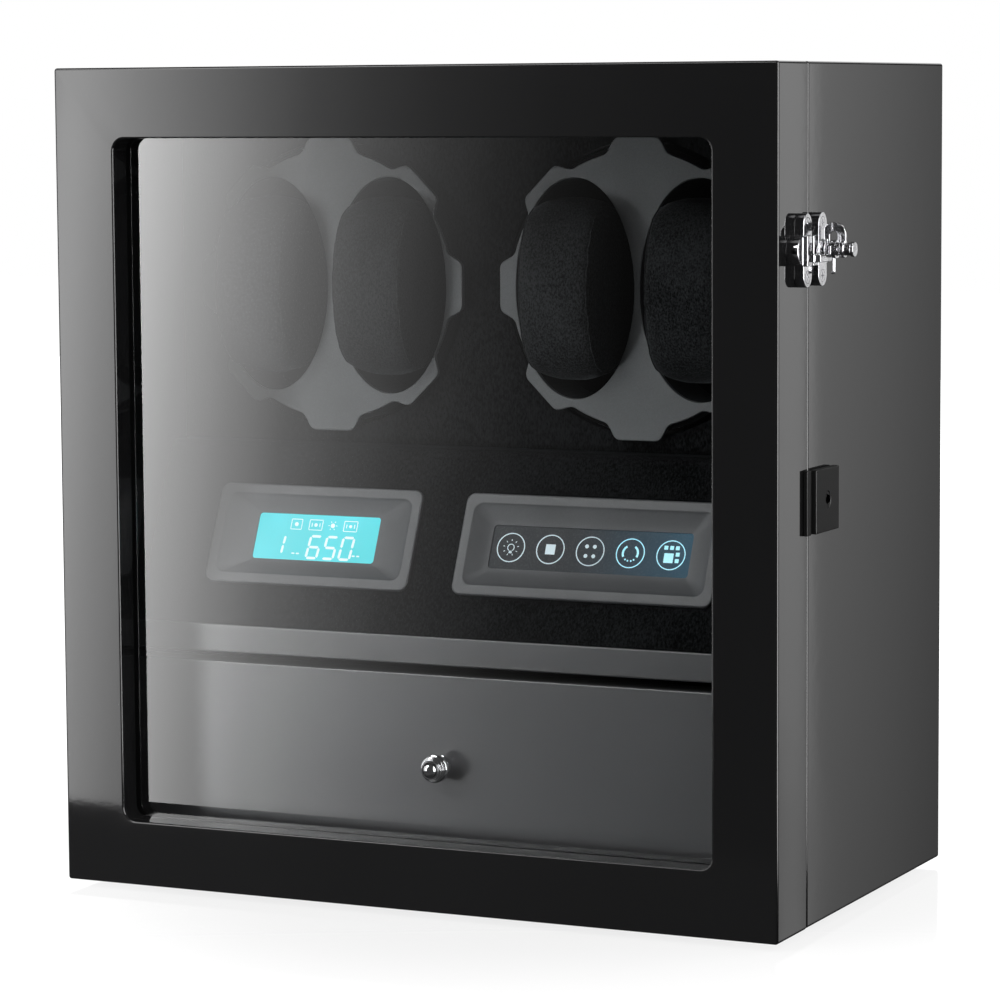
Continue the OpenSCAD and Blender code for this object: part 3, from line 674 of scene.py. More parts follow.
@dataclass
class Workshop:
    """Makes objects out of surfaces and gives them their finish, body and slot."""

    datum: Datum
    materials: dict[Slot | Look, bpy.types.Material]

    def mesh(self, name: str, surface: Surface) -> Object:
        """Makes an object with outward normals from a surface in case millimetres."""
        data = bpy.data.meshes.new(name)
        data.from_pydata(self.datum.in_frame(surface.points).tolist(), [], surface.faces)
        self.outward(data)
        return linked(name, data)

    @staticmethod
    def outward(data: bpy.types.Mesh) -> None:
        """Turns all faces of a closed mesh outwards."""
        shape = bmesh.new()
        shape.from_mesh(data)
        bmesh.ops.remove_doubles(shape, verts=shape.verts, dist=1e-6)
        bmesh.ops.recalc_face_normals(shape, faces=shape.faces)
        shape.to_mesh(data)
        shape.free()

    @staticmethod
    def apply(made: Object) -> Object:
        """Replaces an object's mesh by what its modifiers make of it."""
        data = evaluated(made)
        made.modifiers.clear()
        made.data = data
        return made

    def cut(self, made: Object, *cutters: Surface) -> Object:
        """Subtracts closed surfaces from an object."""
        tool = self.mesh("cutter", joined(cutters))
        change = made.modifiers.new("cut", "BOOLEAN")
        change.object, change.solver, change.operation = tool, "EXACT", "DIFFERENCE"
        change.use_self = True
        self.apply(made)
        bpy.data.objects.remove(tool)
        return made

    def soften(self, made: Object, width_mm: float, segments: int = 3, angle: float = 35.0) -> Object:
        """Rounds the sharp edges and shades the flat faces flat."""
        if width_mm:
            edge = made.modifiers.new("edge", "BEVEL")
            edge.width, edge.segments, edge.limit_method = width_mm * MM, segments, "ANGLE"
            edge.angle_limit, edge.use_clamp_overlap = np.radians(30.0), True
        self.apply(made)
        smooth_shaded(made)
        made.data.set_sharp_from_angle(angle=np.radians(angle))
        weigh = made.modifiers.new("weigh", "WEIGHTED_NORMAL")
        weigh.keep_sharp = True
        return self.apply(made)

    def copy_of(self, name: str, *nodes: str) -> Object:
        """A welded copy of CAD nodes, with the flat faces' triangles merged."""
        shape = bmesh.new()
        for node in nodes:
            shape.from_mesh(frame["nodes"][node].data)
        bmesh.ops.remove_doubles(shape, verts=shape.verts, dist=5e-6)
        bmesh.ops.dissolve_limit(shape, angle_limit=np.radians(0.5), verts=shape.verts, edges=shape.edges)
        data = bpy.data.meshes.new(name)
        shape.to_mesh(data)
        shape.free()
        return linked(name, data)

    def finish(self, made: Object, body: str, slot: Slot, *replaced: str, look: Look | None = None) -> Object:
        """Gives a piece its material and body.

        Args:
            made: the piece.
            body: body of the record that it rides on.
            slot: material slot of the record.
            replaced: CAD nodes that it stands for.
            look: finish that it wears in place of the slot's own.

        Returns:
            The piece.
        """
        made.data.materials.clear()
        made.data.materials.append(self.materials[look or slot])
        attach(made, body)
        if replaced:
            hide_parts(*replaced)
        LOG.info("%s: %d faces on %s", made.name, len(made.data.polygons), body)
        return made

    def soft_copy(self, name: str, body: str, slot: Slot, width_mm: float, *nodes: str) -> Object:
        """A copy of CAD nodes with rounded edges that stands for them."""
        made = self.soften(self.copy_of(name, *nodes), width_mm, 2)
        return self.finish(made, body, slot, *nodes)

    def dress_nodes(self) -> None:
        """Gives every CAD node that still shows the material of its slot."""
        slots = {part["node"]: Slot(part["material_slot"]) for part in frame["record"]["subparts"]}
        for name, made in frame["nodes"].items():
            if made.hide_render:
                continue
            for place in made.material_slots:
                place.material = self.materials[slots[name]]
            if not made.material_slots:
                made.data.materials.append(self.materials[slots[name]])
            LOG.info("%s keeps its CAD shape, in %s", name, slots[name].value)


# Sub-assemblies -----------------------------------------------------------------------------


def frame_ring(low: Sequence[float], high: Sequence[float], inset: float, depth: float,
               radius: float) -> Array:
    """Ring of a rectangle in X and Z, drawn in by inset, at that depth along Y."""
    outline = rounded_rect([low[0] + inset, low[1] + inset], [high[0] - inset, high[1] - inset], radius)
    return np.column_stack([outline[:, 0], np.full(len(outline), depth), outline[:, 1]])


def arris(low: Sequence[float], high: Sequence[float], edge: float, face: float, inward: int,
          corner: float = 1.3) -> list[Array]:
    """Rings of the quarter round between a rectangle's sides and its face at that depth.

    Ring i is drawn in by edge (1 + cos t) and lies edge (1 + sin t) inward of the face.

    Args:
        low: lower left corner of the rectangle in X and Z.
        high: upper right corner.
        edge: radius of the quarter round.
        face: depth of the face.
        inward: 1 for a front face, -1 for a back face; the rings then run away from the sides
            or back towards them.
        corner: radius of the rectangle's corners.

    Returns:
        The rings.
    """
    least = 0.1
    return [frame_ring(low, high, edge * (1 + c), face + inward * edge * (1 + s),
                       max(corner - edge * (1 + c), least)) for c, s in arc(180, 270)[::inward]]


@dataclass
class Carcass:
    """Lacquered case: one shell, the shelf and what stands under and behind it."""

    shop: Workshop
    edge: float = 0.9
    inner_edge: float = 0.5
    inner_corner: float = 0.3
    rebate: float = 8.0
    rebate_edge: float = 0.4
    wall: float = 15.0
    back_inset: float = 6.0
    pocket_gap: float = 0.4
    pocket_wall: float = 2.5
    hole_radius: float = 4.4
    foot_radius: float = 5.0

    def build(self) -> None:
        """Makes the shell, the shelf and the feet."""
        self.shell()
        self.shelf()
        self.feet()

    def shell(self) -> None:
        """Case ring as a closed loop of rectangles, with the lock's pocket cut into it."""
        top_low, top_high = self.shop.datum.span("top_panel")
        bottom_low, bottom_high = self.shop.datum.span("bottom_panel")
        low, high = (bottom_low[0], bottom_low[2]), (bottom_high[0], top_high[2])
        front, back = top_low[1], top_high[1]
        steps = [(self.wall + self.inner_edge * (c - 1), front + self.inner_edge * (1 + s))
                 for c, s in arc(270, 360)]
        steps += [(self.wall, back - self.back_inset), (self.rebate, back - self.back_inset),
                  (self.rebate, back - self.rebate_edge), (self.rebate - self.rebate_edge, back)]
        rings = arris(low, high, self.edge, front, 1)
        rings += [frame_ring(low, high, inset, depth, self.inner_corner) for inset, depth in steps]
        rings += arris(low, high, self.edge, back, -1)
        made = self.shop.mesh("case_shell", loft(np.array(rings), closed=True))
        case_low, case_high = self.shop.datum.span("lock_case")
        _, y, z = self.shop.datum.middle("lock_plate")
        pocket = block((high[0] - self.wall - 1, front - 1, case_low[2] - self.pocket_gap),
                       (high[0] - self.pocket_wall, case_high[1] + self.pocket_gap,
                        case_high[2] + self.pocket_gap))
        hole = lathe([(self.hole_radius, high[0] - 6), (self.hole_radius, high[0] + 1)])
        hole = hole.moved(TO_SIDE, (0, y, z))
        self.shop.soften(self.shop.cut(made, pocket, hole), 0)
        self.shop.finish(made, "cabinet", Slot.LACQUER, "top_panel", "bottom_panel", "left_panel",
                         "right_panel")

    def shelf(self) -> None:
        """Middle shelf with rounded arrises."""
        low, high = self.shop.datum.span("middle_shelf")
        made = self.shop.soften(self.shop.mesh("shelf_board", block(low, high)), 0.7)
        self.shop.finish(made, "cabinet", Slot.LACQUER, "middle_shelf", look=Look.SATIN)

    def feet(self) -> None:
        """Four domed rubber feet on one node."""
        low, high = self.shop.datum.span("feet")
        r = self.foot_radius
        profile = [(r - 0.6, high[2]), (r, high[2] - 0.6), (r, low[2] + 0.7), (r - 0.3, low[2] + 0.2),
                   (r - 0.8, low[2]), (1.5, low[2]), (1.2, low[2] + 0.6), (0.3, low[2] + 0.6)]
        at = [(x, y, 0) for x in (low[0] + r, high[0] - r) for y in (low[1] + r, high[1] - r)]
        made = self.shop.mesh("rubber_feet", joined(lathe(profile).shifted(p) for p in at))
        self.shop.finish(self.shop.soften(made, 0), "cabinet", Slot.FOOT, "feet")


@dataclass
class Door:
    """Glazed door: lacquered frame, glass and bead."""

    shop: Workshop
    edge: float = 1.0
    reveal_edge: float = 0.8
    corner: float = 5.5
    lap: float = 6.0
    lap_edge: float = 0.4
    lap_corner: float = 2.0
    strike_gap: float = 0.5
    strike_depth: float = 4.4

    def build(self) -> None:
        """Makes the frame as one closed loop of rings round its window."""
        low3, high3 = self.shop.datum.span("door_frame")
        low, high, back = (low3[0], low3[2]), (high3[0], high3[2]), high3[1]
        glass_low, glass_high = self.shop.datum.span("glass_bead")
        open_low = (glass_low[0] + self.lap, glass_low[2] + self.lap)
        open_high = (glass_high[0] - self.lap, glass_high[2] - self.lap)
        reveal = self.shop.datum.span("door_glass")[0][1]

        def window(grow: float, depth: float, radius: float) -> Array:
            """Ring of the window, grown outwards."""
            return frame_ring(open_low, open_high, -grow, depth, radius)

        rings = arris(low, high, self.edge, 0.0, 1)
        rings += [window(self.reveal_edge * (1 - c), self.reveal_edge * (1 + s),
                         self.corner + self.reveal_edge * (1 - c)) for c, s in arc(270, 360)]
        rings += [window(0, reveal, self.corner), window(self.lap, reveal, self.lap_corner),
                  window(self.lap, back - self.lap_edge, self.lap_corner),
                  window(self.lap + self.lap_edge, back, self.lap_corner + self.lap_edge)]
        rings += arris(low, high, self.edge, back, -1)
        made = self.shop.mesh("door_shell", loft(np.array(rings), closed=True))
        bolt_low, bolt_high = self.shop.datum.span("lock_bolt")
        gap = self.strike_gap
        pocket = block((bolt_low[0] - gap, back - self.strike_depth, bolt_low[2] - gap),
                       (bolt_high[0] + gap, back + 1, bolt_high[2] + gap))
        self.shop.soften(self.shop.cut(made, pocket), 0)
        self.shop.finish(made, "door", Slot.LACQUER, "door_frame")
        self.shop.soft_copy("bead_frame", "door", Slot.LACQUER, 0.5, "glass_bead")


@dataclass
class Drawer:
    """Drawer front, its box and the turned knob."""

    shop: Workshop
    front_edge: float = 0.8

    def build(self) -> None:
        """Makes the front, the knob and the soft edges of the box."""
        low, high = self.shop.datum.span("drawer_front")
        front = self.shop.soften(self.shop.mesh("drawer_face", block(low, high)), self.front_edge)
        self.shop.finish(front, "drawer", Slot.LACQUER, "drawer_front", look=Look.SATIN)
        self.shop.soft_copy("drawer_tray", "drawer", Slot.BOARD, 0.5, "drawer_box")
        self.shop.soft_copy("drawer_velvet", "drawer", Slot.VELVET, 0.6, "drawer_lining")
        self.knob()

    def knob(self) -> None:
        """Knob turned from a stem, a large ring, stepped rings and a ball nose."""
        low, high = self.shop.datum.span("drawer_knob")
        radius, length = (high[0] - low[0]) / 2, high[1] - low[1]

        def ring(r: float, start: float, end: float, ease: float = 0.35) -> list[Sequence[float]]:
            """Half-round land from start to end at radius r."""
            turn = arc(-90, 90, 7)
            middle, half = (start + end) / 2, (end - start) / 2
            return [(r - ease + ease * c, middle + half * s) for c, s in turn]

        nose = [(max(4.2 * c, 0.15), length - 4.2 + 4.2 * s) for c, s in arc(8, 88, 9)]
        profile = [(4.6, 0.0), (4.6, 1.2), (4.3, 1.4), (3.3, 1.9), (3.2, 3.4), *ring(5.2, 4.2, 5.7),
                   *ring(radius, 5.9, 8.5, 0.9), *ring(5.5, 8.7, 10.1), *ring(4.7, 10.3, 11.2), *nose]
        shift = ((low[0] + high[0]) / 2, high[1], (low[2] + high[2]) / 2)
        made = self.shop.mesh("turned_knob", lathe(profile, 64).moved(TO_FRONT, shift))
        self.shop.finish(self.shop.soften(made, 0, angle=50.0), "drawer", Slot.CHROME, "drawer_knob")


@dataclass
class Console:
    """Sloping padded board with the display and the touch panel in funnel-shaped bezels."""

    shop: Workshop
    slope: float = 66.0
    foot_y: float = 34.0
    foot_z: float = 111.0
    middle: float = 41.7
    rise: float = 2.0
    sink: float = 1.2
    board: float = 4.0
    rim: float = 4.6
    corner: float = 4.0
    edge: float = 0.8
    bezel_height: float = 45.5
    hole_margin: float = 7.0
    ledge_turn: float = 4.0
    window_corner: float = 1.5
    window_gap: float = 0.4
    pane_gap: float = 0.45
    pane_lap: float = 1.3
    display_window: tuple[float, float] = (59.5, 21.0)
    touch_window: tuple[float, float] = (91.8, 19.5)

    def matrix(self) -> Array:
        """Columns are across, up the slope and outwards."""
        c, s = np.cos(np.radians(self.slope)), np.sin(np.radians(self.slope))
        return np.array([[1, 0, 0], [0, c, -s], [0, s, c]])

    def laid(self, surface: Surface, x: float = 0.0) -> Surface:
        """Moves a surface drawn round a bezel's middle onto the slope at x."""
        centre = self.matrix() @ np.array([0.0, self.middle, 0.0])
        return surface.moved(self.matrix(), centre + (x, self.foot_y, self.foot_z))

    def build(self) -> None:
        """Makes the board, both bezels and what they frame."""
        display, touch = self.seat("lcd_bezel"), self.seat("key_bezel")
        self.cover([display, touch])
        self.bezel("display_bezel", "lcd_bezel", *display, *self.display_window)
        self.bezel("touch_bezel", "key_bezel", *touch, *self.touch_window)
        self.pane("display_pane", "lcd_display", Slot.DISPLAY, display[0], *self.display_window)
        self.pane("touch_pane", "key_panel", Slot.KEYS, touch[0], *self.touch_window)
        Readout(self.shop, self, display[0]).build()
        KeyIcons(self.shop, self, touch[0]).build()

    def seat(self, node: str) -> tuple[float, float]:
        """Middle and width along X of a bezel's CAD node."""
        low, high = self.shop.datum.span(node)
        return (low[0] + high[0]) / 2, high[0] - low[0]

    def cover(self, holes: list[tuple[float, float]]) -> None:
        """Padded board: its section, rounded at the ledge, carried across the case."""
        low, high = self.shop.datum.span("console_panel")
        c, s = np.cos(np.radians(self.slope)), np.sin(np.radians(self.slope))
        run = (high[2] - low[2]) * c / s
        foot = self.board / s
        back_run = (high[2] - self.board - low[2]) * c / s
        ledge = (self.foot_y + run, high[2])
        t = np.linspace(0, 1, 7)[:, None]
        reach = self.ledge_turn
        down = np.array([ledge[0] - reach * c, ledge[1] - reach * s])
        along = np.array([ledge[0] + reach, ledge[1]])
        turn = (1 - t) ** 2 * down + 2 * t * (1 - t) * np.array(ledge) + t ** 2 * along
        section = np.array([(self.foot_y, low[2]), *turn, (high[1], high[2]),
                            (high[1], high[2] - self.board),
                            (self.foot_y + foot + back_run, high[2] - self.board),
                            (self.foot_y + foot, low[2])])
        rings = [np.column_stack([np.full(len(section), x), section]) for x in (low[0], high[0])]
        made = self.shop.mesh("console_cover", loft(np.array(rings)))
        depth = 9
        size = self.bezel_height - self.hole_margin
        halves = [(x, (width - self.hole_margin) / 2) for x, width in holes]
        tools = [self.laid(block((-half, -size / 2, -depth), (half, size / 2, depth)), x)
                 for x, half in halves]
        self.shop.soften(self.shop.cut(made, *tools), 0)
        self.shop.finish(made, "cabinet", Slot.VELVET_BOARD, "console_panel")

    def bezel(self, name: str, node: str, x: float, width: float, open_w: float, open_h: float) -> None:
        """Bezel as one loop of rounded rectangles: rim, concave funnel, window and back.

        Across the funnel the depth follows (1 - t)^1.35 from the rim to the window.
        """
        edge = self.edge
        half = np.array([width / 2, self.bezel_height / 2])
        inner = half - self.rim
        mouth = np.array([open_w / 2, open_h / 2])

        def ring(size: Array, radius: float, level: float) -> Array:
            """Rounded rectangle of that half size at a level."""
            outline = rounded_rect(-size, size, radius)
            return np.column_stack([outline, np.full(len(outline), level)])

        rings = [ring(half - 0.15, self.corner, 0.0), ring(half, self.corner, 0.3)]
        rings += [ring(half - edge * (1 + c), self.corner - edge * (1 + c), self.rise - edge * (1 + s))
                  for c, s in arc(180, 270)]
        rings += [ring(inner + 0.5, self.corner, self.rise),
                  ring(inner + 0.15, self.corner, self.rise - 0.06),
                  ring(inner - 0.2, self.corner, self.rise - 0.3)]
        for t in np.linspace(0.06, 1, 8):
            size = inner + (mouth - inner) * t
            level = -self.sink + (self.rise + self.sink - 0.35) * (1 - t) ** 1.35
            rings.append(ring(size, self.corner + (self.window_corner - self.corner) * t, level))
        floor, step, tight = -self.sink - self.window_gap, 1.5, 0.5
        rings += [ring(mouth, self.window_corner, floor), ring(mouth + step, tight, floor),
                  ring(mouth + step, tight, -self.board), ring(half - 4, tight, -self.board),
                  ring(half - 4, tight, 0.0)]
        made = self.shop.mesh(name, self.laid(loft(np.array(rings), closed=True), x))
        self.shop.finish(self.shop.soften(made, 0, angle=40.0), "cabinet", Slot.BEZEL, node)

    def pane(self, name: str, node: str, slot: Slot, x: float, width: float, height: float) -> None:
        """Pane behind a window, with a fine bevel round its face."""
        half = np.array([width / 2 + self.pane_lap, height / 2 + self.pane_lap])
        surface = self.laid(block((*-half, -self.board), (*half, -self.sink - self.pane_gap)), x)
        made = self.shop.soften(self.shop.mesh(name, surface), 0.25, 2)
        self.shop.finish(made, "cabinet", slot, node)


def bar(start: Sequence[float], end: Sequence[float], width: float) -> Array:
    """Hexagonal bar outline between two points, pointed at both ends."""
    a, b = np.asarray(start, float), np.asarray(end, float)
    along = (b - a) / np.linalg.norm(b - a)
    across = np.array([-along[1], along[0]]) * width / 2
    tip = along * width / 2
    return np.array([a, a + tip + across, b - tip + across, b, b - tip - across, a + tip - across])


def disc(x: float, y: float, radius: float, steps: int = 20) -> Array:
    """Circle outline."""
    t = np.linspace(0, 2 * np.pi, steps, endpoint=False)
    return np.column_stack([x + radius * np.cos(t), y + radius * np.sin(t)])


@dataclass
class Readout:
    """Figures and signs on the display."""

    shop: Workshop
    console: Console
    x: float
    sunk: float = 0.1
    raised: float = 0.125

    def segments(self, figure: str, x: float, y: float, width: float, height: float,
                 stroke: float) -> list[Array]:
        """Bars of a seven-segment figure centred on x and y, leaning a little."""
        w, h = width / 2, height / 2
        corners = {"a": ((-w, h), (w, h)), "b": ((w, h), (w, 0)), "c": ((w, 0), (w, -h)),
                   "d": ((-w, -h), (w, -h)), "e": ((-w, 0), (-w, -h)), "f": ((-w, h), (-w, 0)),
                   "g": ((-w, 0), (w, 0))}
        lit = {"1": "bc", "6": "acdefg", "5": "acdfg", "0": "abcdef"}[figure]
        lean = np.array([[1.0, 0.09], [0.0, 1.0]])
        bars = []
        for name in lit:
            a, b = np.array(corners[name][0]), np.array(corners[name][1])
            gap = (b - a) / np.linalg.norm(b - a) * 0.25
            bars.append(bar(a + gap, b - gap, stroke) @ lean.T + (x, y))
        return bars

    def build(self) -> None:
        """Makes the figures as one thin raised mesh and the signs as another."""
        figures = self.segments("1", -18.0, -3.6, 4.6, 8.4, 1.05)
        for i, figure in enumerate("650"):
            figures += self.segments(figure, -0.6 + 8.0 * i, -4.2, 5.2, 9.9, 1.1)
        self.raise_up("display_figures", figures)
        signs: list[Array] = []
        for x in (-11.0, -1.5, 15.5):
            signs += self.box_sign(x, 5.9, 6.4 if x > -10 else 5.2, 4.6)
        signs += [disc(-11.0, 5.9, 0.9), disc(-1.5, 5.9, 0.8), disc(6.8, 5.9, 1.0), disc(15.5, 5.9, 0.7)]
        for x in (-3.4, 0.4, 13.6, 17.4):
            signs.append(bar((x, 5.0), (x, 6.8), 0.35))
        sun = np.array([6.8, 5.9])
        for angle in np.radians(np.arange(0, 360, 60)):
            way = np.array([np.cos(angle), np.sin(angle)])
            signs.append(bar(sun + 1.5 * way, sun + 2.2 * way, 0.3))
        signs += [bar((x, -7.4), (x + 1.6, -7.4), 0.6) for x in (-11.0, -8.8, 18.6, 20.8)]
        self.raise_up("display_signs", signs)

    @staticmethod
    def box_sign(x: float, y: float, width: float, height: float) -> list[Array]:
        """Four thin bars round a small sign."""
        w, h = width / 2, height / 2
        ends = [(-w, -h), (w, -h), (w, h), (-w, h)]
        return [bar((x + a[0], y + a[1]), (x + b[0], y + b[1]), 0.28)
                for a, b in zip(ends, ends[1:] + ends[:1])]

    def raise_up(self, name: str, outlines: list[Array]) -> None:
        """Stands outlines a hair above the pane, lit white."""
        level = -self.console.sink - self.console.pane_gap
        parts = [slab(outline, level - self.sunk, level + self.raised) for outline in outlines]
        made = self.shop.mesh(name, self.console.laid(joined(parts), self.x))
        self.shop.finish(made, "cabinet", Slot.DISPLAY, look=Look.FIGURE)


@dataclass
class KeyIcons:
    """Five ringed signs on the touch panel."""

    shop: Workshop
    console: Console
    x: float
    pitch: float = 18.4
    ring_radius: float = 6.3
    stroke: float = 0.42
    under: float = -0.06
    over: float = 0.08

    def build(self) -> None:
        """Makes each key's ring and sign as thin raised meshes, brighter to the right."""
        signs = [self.lamp(), self.square(), self.dots(), self.arcs(), self.blocks()]
        for i, sign in enumerate(signs):
            x = (i - 2) * self.pitch
            parts = [self.hoop(0, 360, self.ring_radius)] + sign
            level = -self.console.sink - self.console.window_gap
            shape = joined(parts).shifted((x, 0, level))
            made = self.shop.mesh(f"key_sign_{i + 1}", self.console.laid(shape, self.x))
            self.shop.finish(made, "cabinet", Slot.KEYS, look=Look.NEAR_KEY if i < 3 else Look.FAR_KEY)

    def hoop(self, start: float, end: float, radius: float, stroke: float = 0.0) -> Surface:
        """Flat band along an arc, from start to end in degrees."""
        half = (stroke or self.stroke) / 2
        whole = end - start >= 360
        t = np.radians(np.linspace(start, end, 49)[: 48 if whole else 49])
        corners = [(radius - half, self.under), (radius + half, self.under),
                   (radius + half, self.over), (radius - half, self.over)]
        rings = np.stack([np.column_stack([r * np.cos(t), r * np.sin(t), np.full(len(t), h)])
                          for r, h in corners], 1)
        return loft(rings, closed=whole)

    def flat(self, outline: Array) -> Surface:
        """Outline as a thin plate."""
        return slab(outline, self.under, self.over)

    def patch(self, x: float, y: float, size: float) -> Surface:
        """Small square plate."""
        return self.flat(rounded_rect((x - size / 2, y - size / 2), (x + size / 2, y + size / 2), 0.15, 3))

    def lamp(self) -> list[Surface]:
        """Lamp: a round bulb with its cap, and short rays about it."""
        rays = np.radians(np.arange(-70, 251, 40))
        way = np.column_stack([np.cos(rays), np.sin(rays)])
        parts = [self.hoop(-60, 240, 1.5, 0.3), self.flat(bar((-0.8, -2.3), (0.8, -2.3), 0.4)),
                 self.flat(bar((-0.7, -1.7), (0.7, -1.7), 0.4))]
        return parts + [self.flat(bar(2.9 * w, 3.7 * w, 0.3)) for w in way]

    def square(self) -> list[Surface]:
        """Stop: one solid square."""
        return [self.patch(0, 0, 4.4)]

    def dots(self) -> list[Surface]:
        """Programme: four dots."""
        return [self.flat(disc(x, y, 0.85)) for x in (-1.8, 1.8) for y in (-2.1, 2.1)]

    def arcs(self) -> list[Surface]:
        """Turning: two side arcs and a row of dots below."""
        radius = 3.4
        dots = [self.flat(disc(radius * np.cos(a), radius * np.sin(a), 0.38))
                for a in np.radians([235, 257, 283, 305])]
        return [self.hoop(-28, 58, radius, 0.9), self.hoop(122, 208, radius, 0.9), *dots]

    def blocks(self) -> list[Surface]:
        """Mode: a large square with small ones above and beside it."""
        small = [(-2.6, 3.2), (0.0, 3.2), (2.6, 3.2), (3.0, 0.4), (3.0, -2.4)]
        return [self.patch(-0.9, -1.3, 4.2)] + [self.patch(x, y, 1.7) for x, y in small]


@dataclass
class Hardware:
    """Latch, lock and hinges, with soft edges and cross-slotted screws."""

    shop: Workshop
    cross: tuple[float, float] = (0.28, 1.5)
    cross_depth: float = 0.9

    def build(self) -> None:
        """Makes each metal piece from its CAD shape with rounded edges."""
        copy = self.shop.soft_copy
        copy("latch_keeper", "door", Slot.CHROME, 0.45, "latch_door_plate")
        copy("latch_base", "cabinet", Slot.CHROME, 0.45, "latch_case_plate")
        copy("latch_arch", "latch", Slot.CHROME, 0.3, "latch_hook")
        copy("latch_coil", "cabinet", Slot.CHROME, 0.2, "latch_spring")
        copy("lock_escutcheon", "cabinet", Slot.BLACK, 0.5, "lock_plate")
        copy("lock_barrel", "lock_plug", Slot.BLACK, 0.2, "lock_cylinder")
        copy("lock_tongue", "lock_slide", Slot.ZINC, 0.3, "lock_bolt")
        copy("lock_strike", "door", Slot.BLACK, 0.3, "strike_plate")
        copy("hinge_leaves_case", "cabinet", Slot.CHROME, 0.25, "hinge_case_leaves")
        copy("hinge_leaves_door", "door", Slot.CHROME, 0.25, "hinge_door_leaves")
        self.screws("latch_screws_door", "door", "latch_door_screws", 1, 2.4)
        self.screws("latch_screws_case", "cabinet", "latch_case_screws", 1, 2.4)
        self.screws("hinge_screws_door", "door", "hinge_door_screws", -1, 2.6)
        self.screws("hinge_screws_case", "cabinet", "hinge_case_screws", -1, 2.6)

    def screws(self, name: str, body: str, node: str, side: int, head: float) -> None:
        """Countersunk screws with a cross cut into each head.

        Args:
            name: name of the piece.
            body: body that it rides on.
            node: CAD node that it stands for.
            side: 1 for heads that face +X, -1 for -X.
            head: radius of a head.
        """
        made = self.shop.copy_of(name, node)
        points = self.shop.datum.in_case(np.array([v.co for v in made.data.vertices]))
        face = points[:, 0].max() if side > 0 else points[:, 0].min()
        rim = points[np.abs(points[:, 0] - face) < 0.05][:, 1:]
        centres: list[Array] = []
        for point in rim:
            if all(np.linalg.norm(point - c) > 2.5 * head for c in centres):
                near = rim[np.linalg.norm(rim - point, axis=1) < 2.2 * head]
                centres.append((near.min(0) + near.max(0)) / 2)
        deep = self.cross_depth
        tools = [block((face - deep, y - a, z - b), (face + deep, y + a, z + b))
                 for y, z in centres for a, b in (self.cross, self.cross[::-1])]
        self.shop.soften(self.shop.cut(made, *tools), 0)
        self.shop.finish(made, body, Slot.CHROME, node)


@dataclass
class Rotor:
    """Lobed disc of one rotor."""

    shop: Workshop
    side: str
    lobe_radius: float = 64.8
    root_radius: float = 58.6
    lobes: int = 8
    tip_half: float = 10.25
    root_half: float = 14.0
    tip_ease: float = 2.6
    root_ease: float = 2.0
    rim_ease: float = 0.5
    well_x: float = 28.8
    well_half: tuple[float, float] = (27.4, 47.0)
    thickness: float = 2.5
    edge: float = 0.45

    def outline(self) -> Array:
        """Outline of the disc: lobes with small rounded tips and hollow roots on a round rim."""
        tip, root = np.arcsin(self.tip_half / self.lobe_radius), np.arcsin(self.root_half / self.root_radius)
        pitch = 2 * np.pi / self.lobes
        corners, radii = [], []
        for k in range(self.lobes):
            middle = k * pitch
            corners += [(self.root_radius, middle - root), (self.lobe_radius, middle - tip),
                        (self.lobe_radius, middle + tip), (self.root_radius, middle + root)]
            radii += [self.root_ease, self.tip_ease, self.tip_ease, self.root_ease]
            for a in np.linspace(middle + root, middle + pitch - root, 6)[1:-1]:
                corners.append((self.root_radius, a))
                radii.append(self.rim_ease)
        polar = np.array(corners)
        flat = np.column_stack([polar[:, 0] * np.cos(polar[:, 1]), polar[:, 0] * np.sin(polar[:, 1])])
        return fillet(flat, radii)

    def well(self, sign: int) -> Array:
        """Ellipse of one well."""
        t = np.linspace(0, 2 * np.pi, 96, endpoint=False)
        return np.column_stack([sign * self.well_x + self.well_half[0] * np.cos(t),
                                self.well_half[1] * np.sin(t)])

    def build(self) -> None:
        """Makes the disc as a filled curve with rounded edges, two wells open."""
        node = f"rotor_disc_{self.side}"
        plate = bpy.data.curves.new(f"disc_{self.side}", "CURVE")
        plate.dimensions, plate.fill_mode = "2D", "BOTH"
        plate.extrude, plate.bevel_depth = (self.thickness / 2 - self.edge) * MM, self.edge * MM
        plate.bevel_resolution, plate.offset = 2, -self.edge * MM
        for outline in (self.outline(), self.well(-1), self.well(1)):
            spline = plate.splines.new("POLY")
            spline.points.add(len(outline) - 1)
            flat = np.column_stack([outline * MM, np.zeros(len(outline)), np.ones(len(outline))])
            spline.points.foreach_set("co", flat.ravel())
            spline.use_cyclic_u = True
        holder = linked("holder", plate)
        data = evaluated(holder)
        bpy.data.objects.remove(holder)
        shift = Matrix.Translation(Vector(self.shop.datum.in_frame(self.shop.datum.middle(node))))
        data.transform(shift @ Matrix.Rotation(np.pi / 2, 4, "X"))
        self.shop.outward(data)
        made = linked(f"lobed_disc_{self.side}", data)
        self.shop.finish(self.shop.soften(made, 0), f"rotor_{self.side}", Slot.GREY, node)


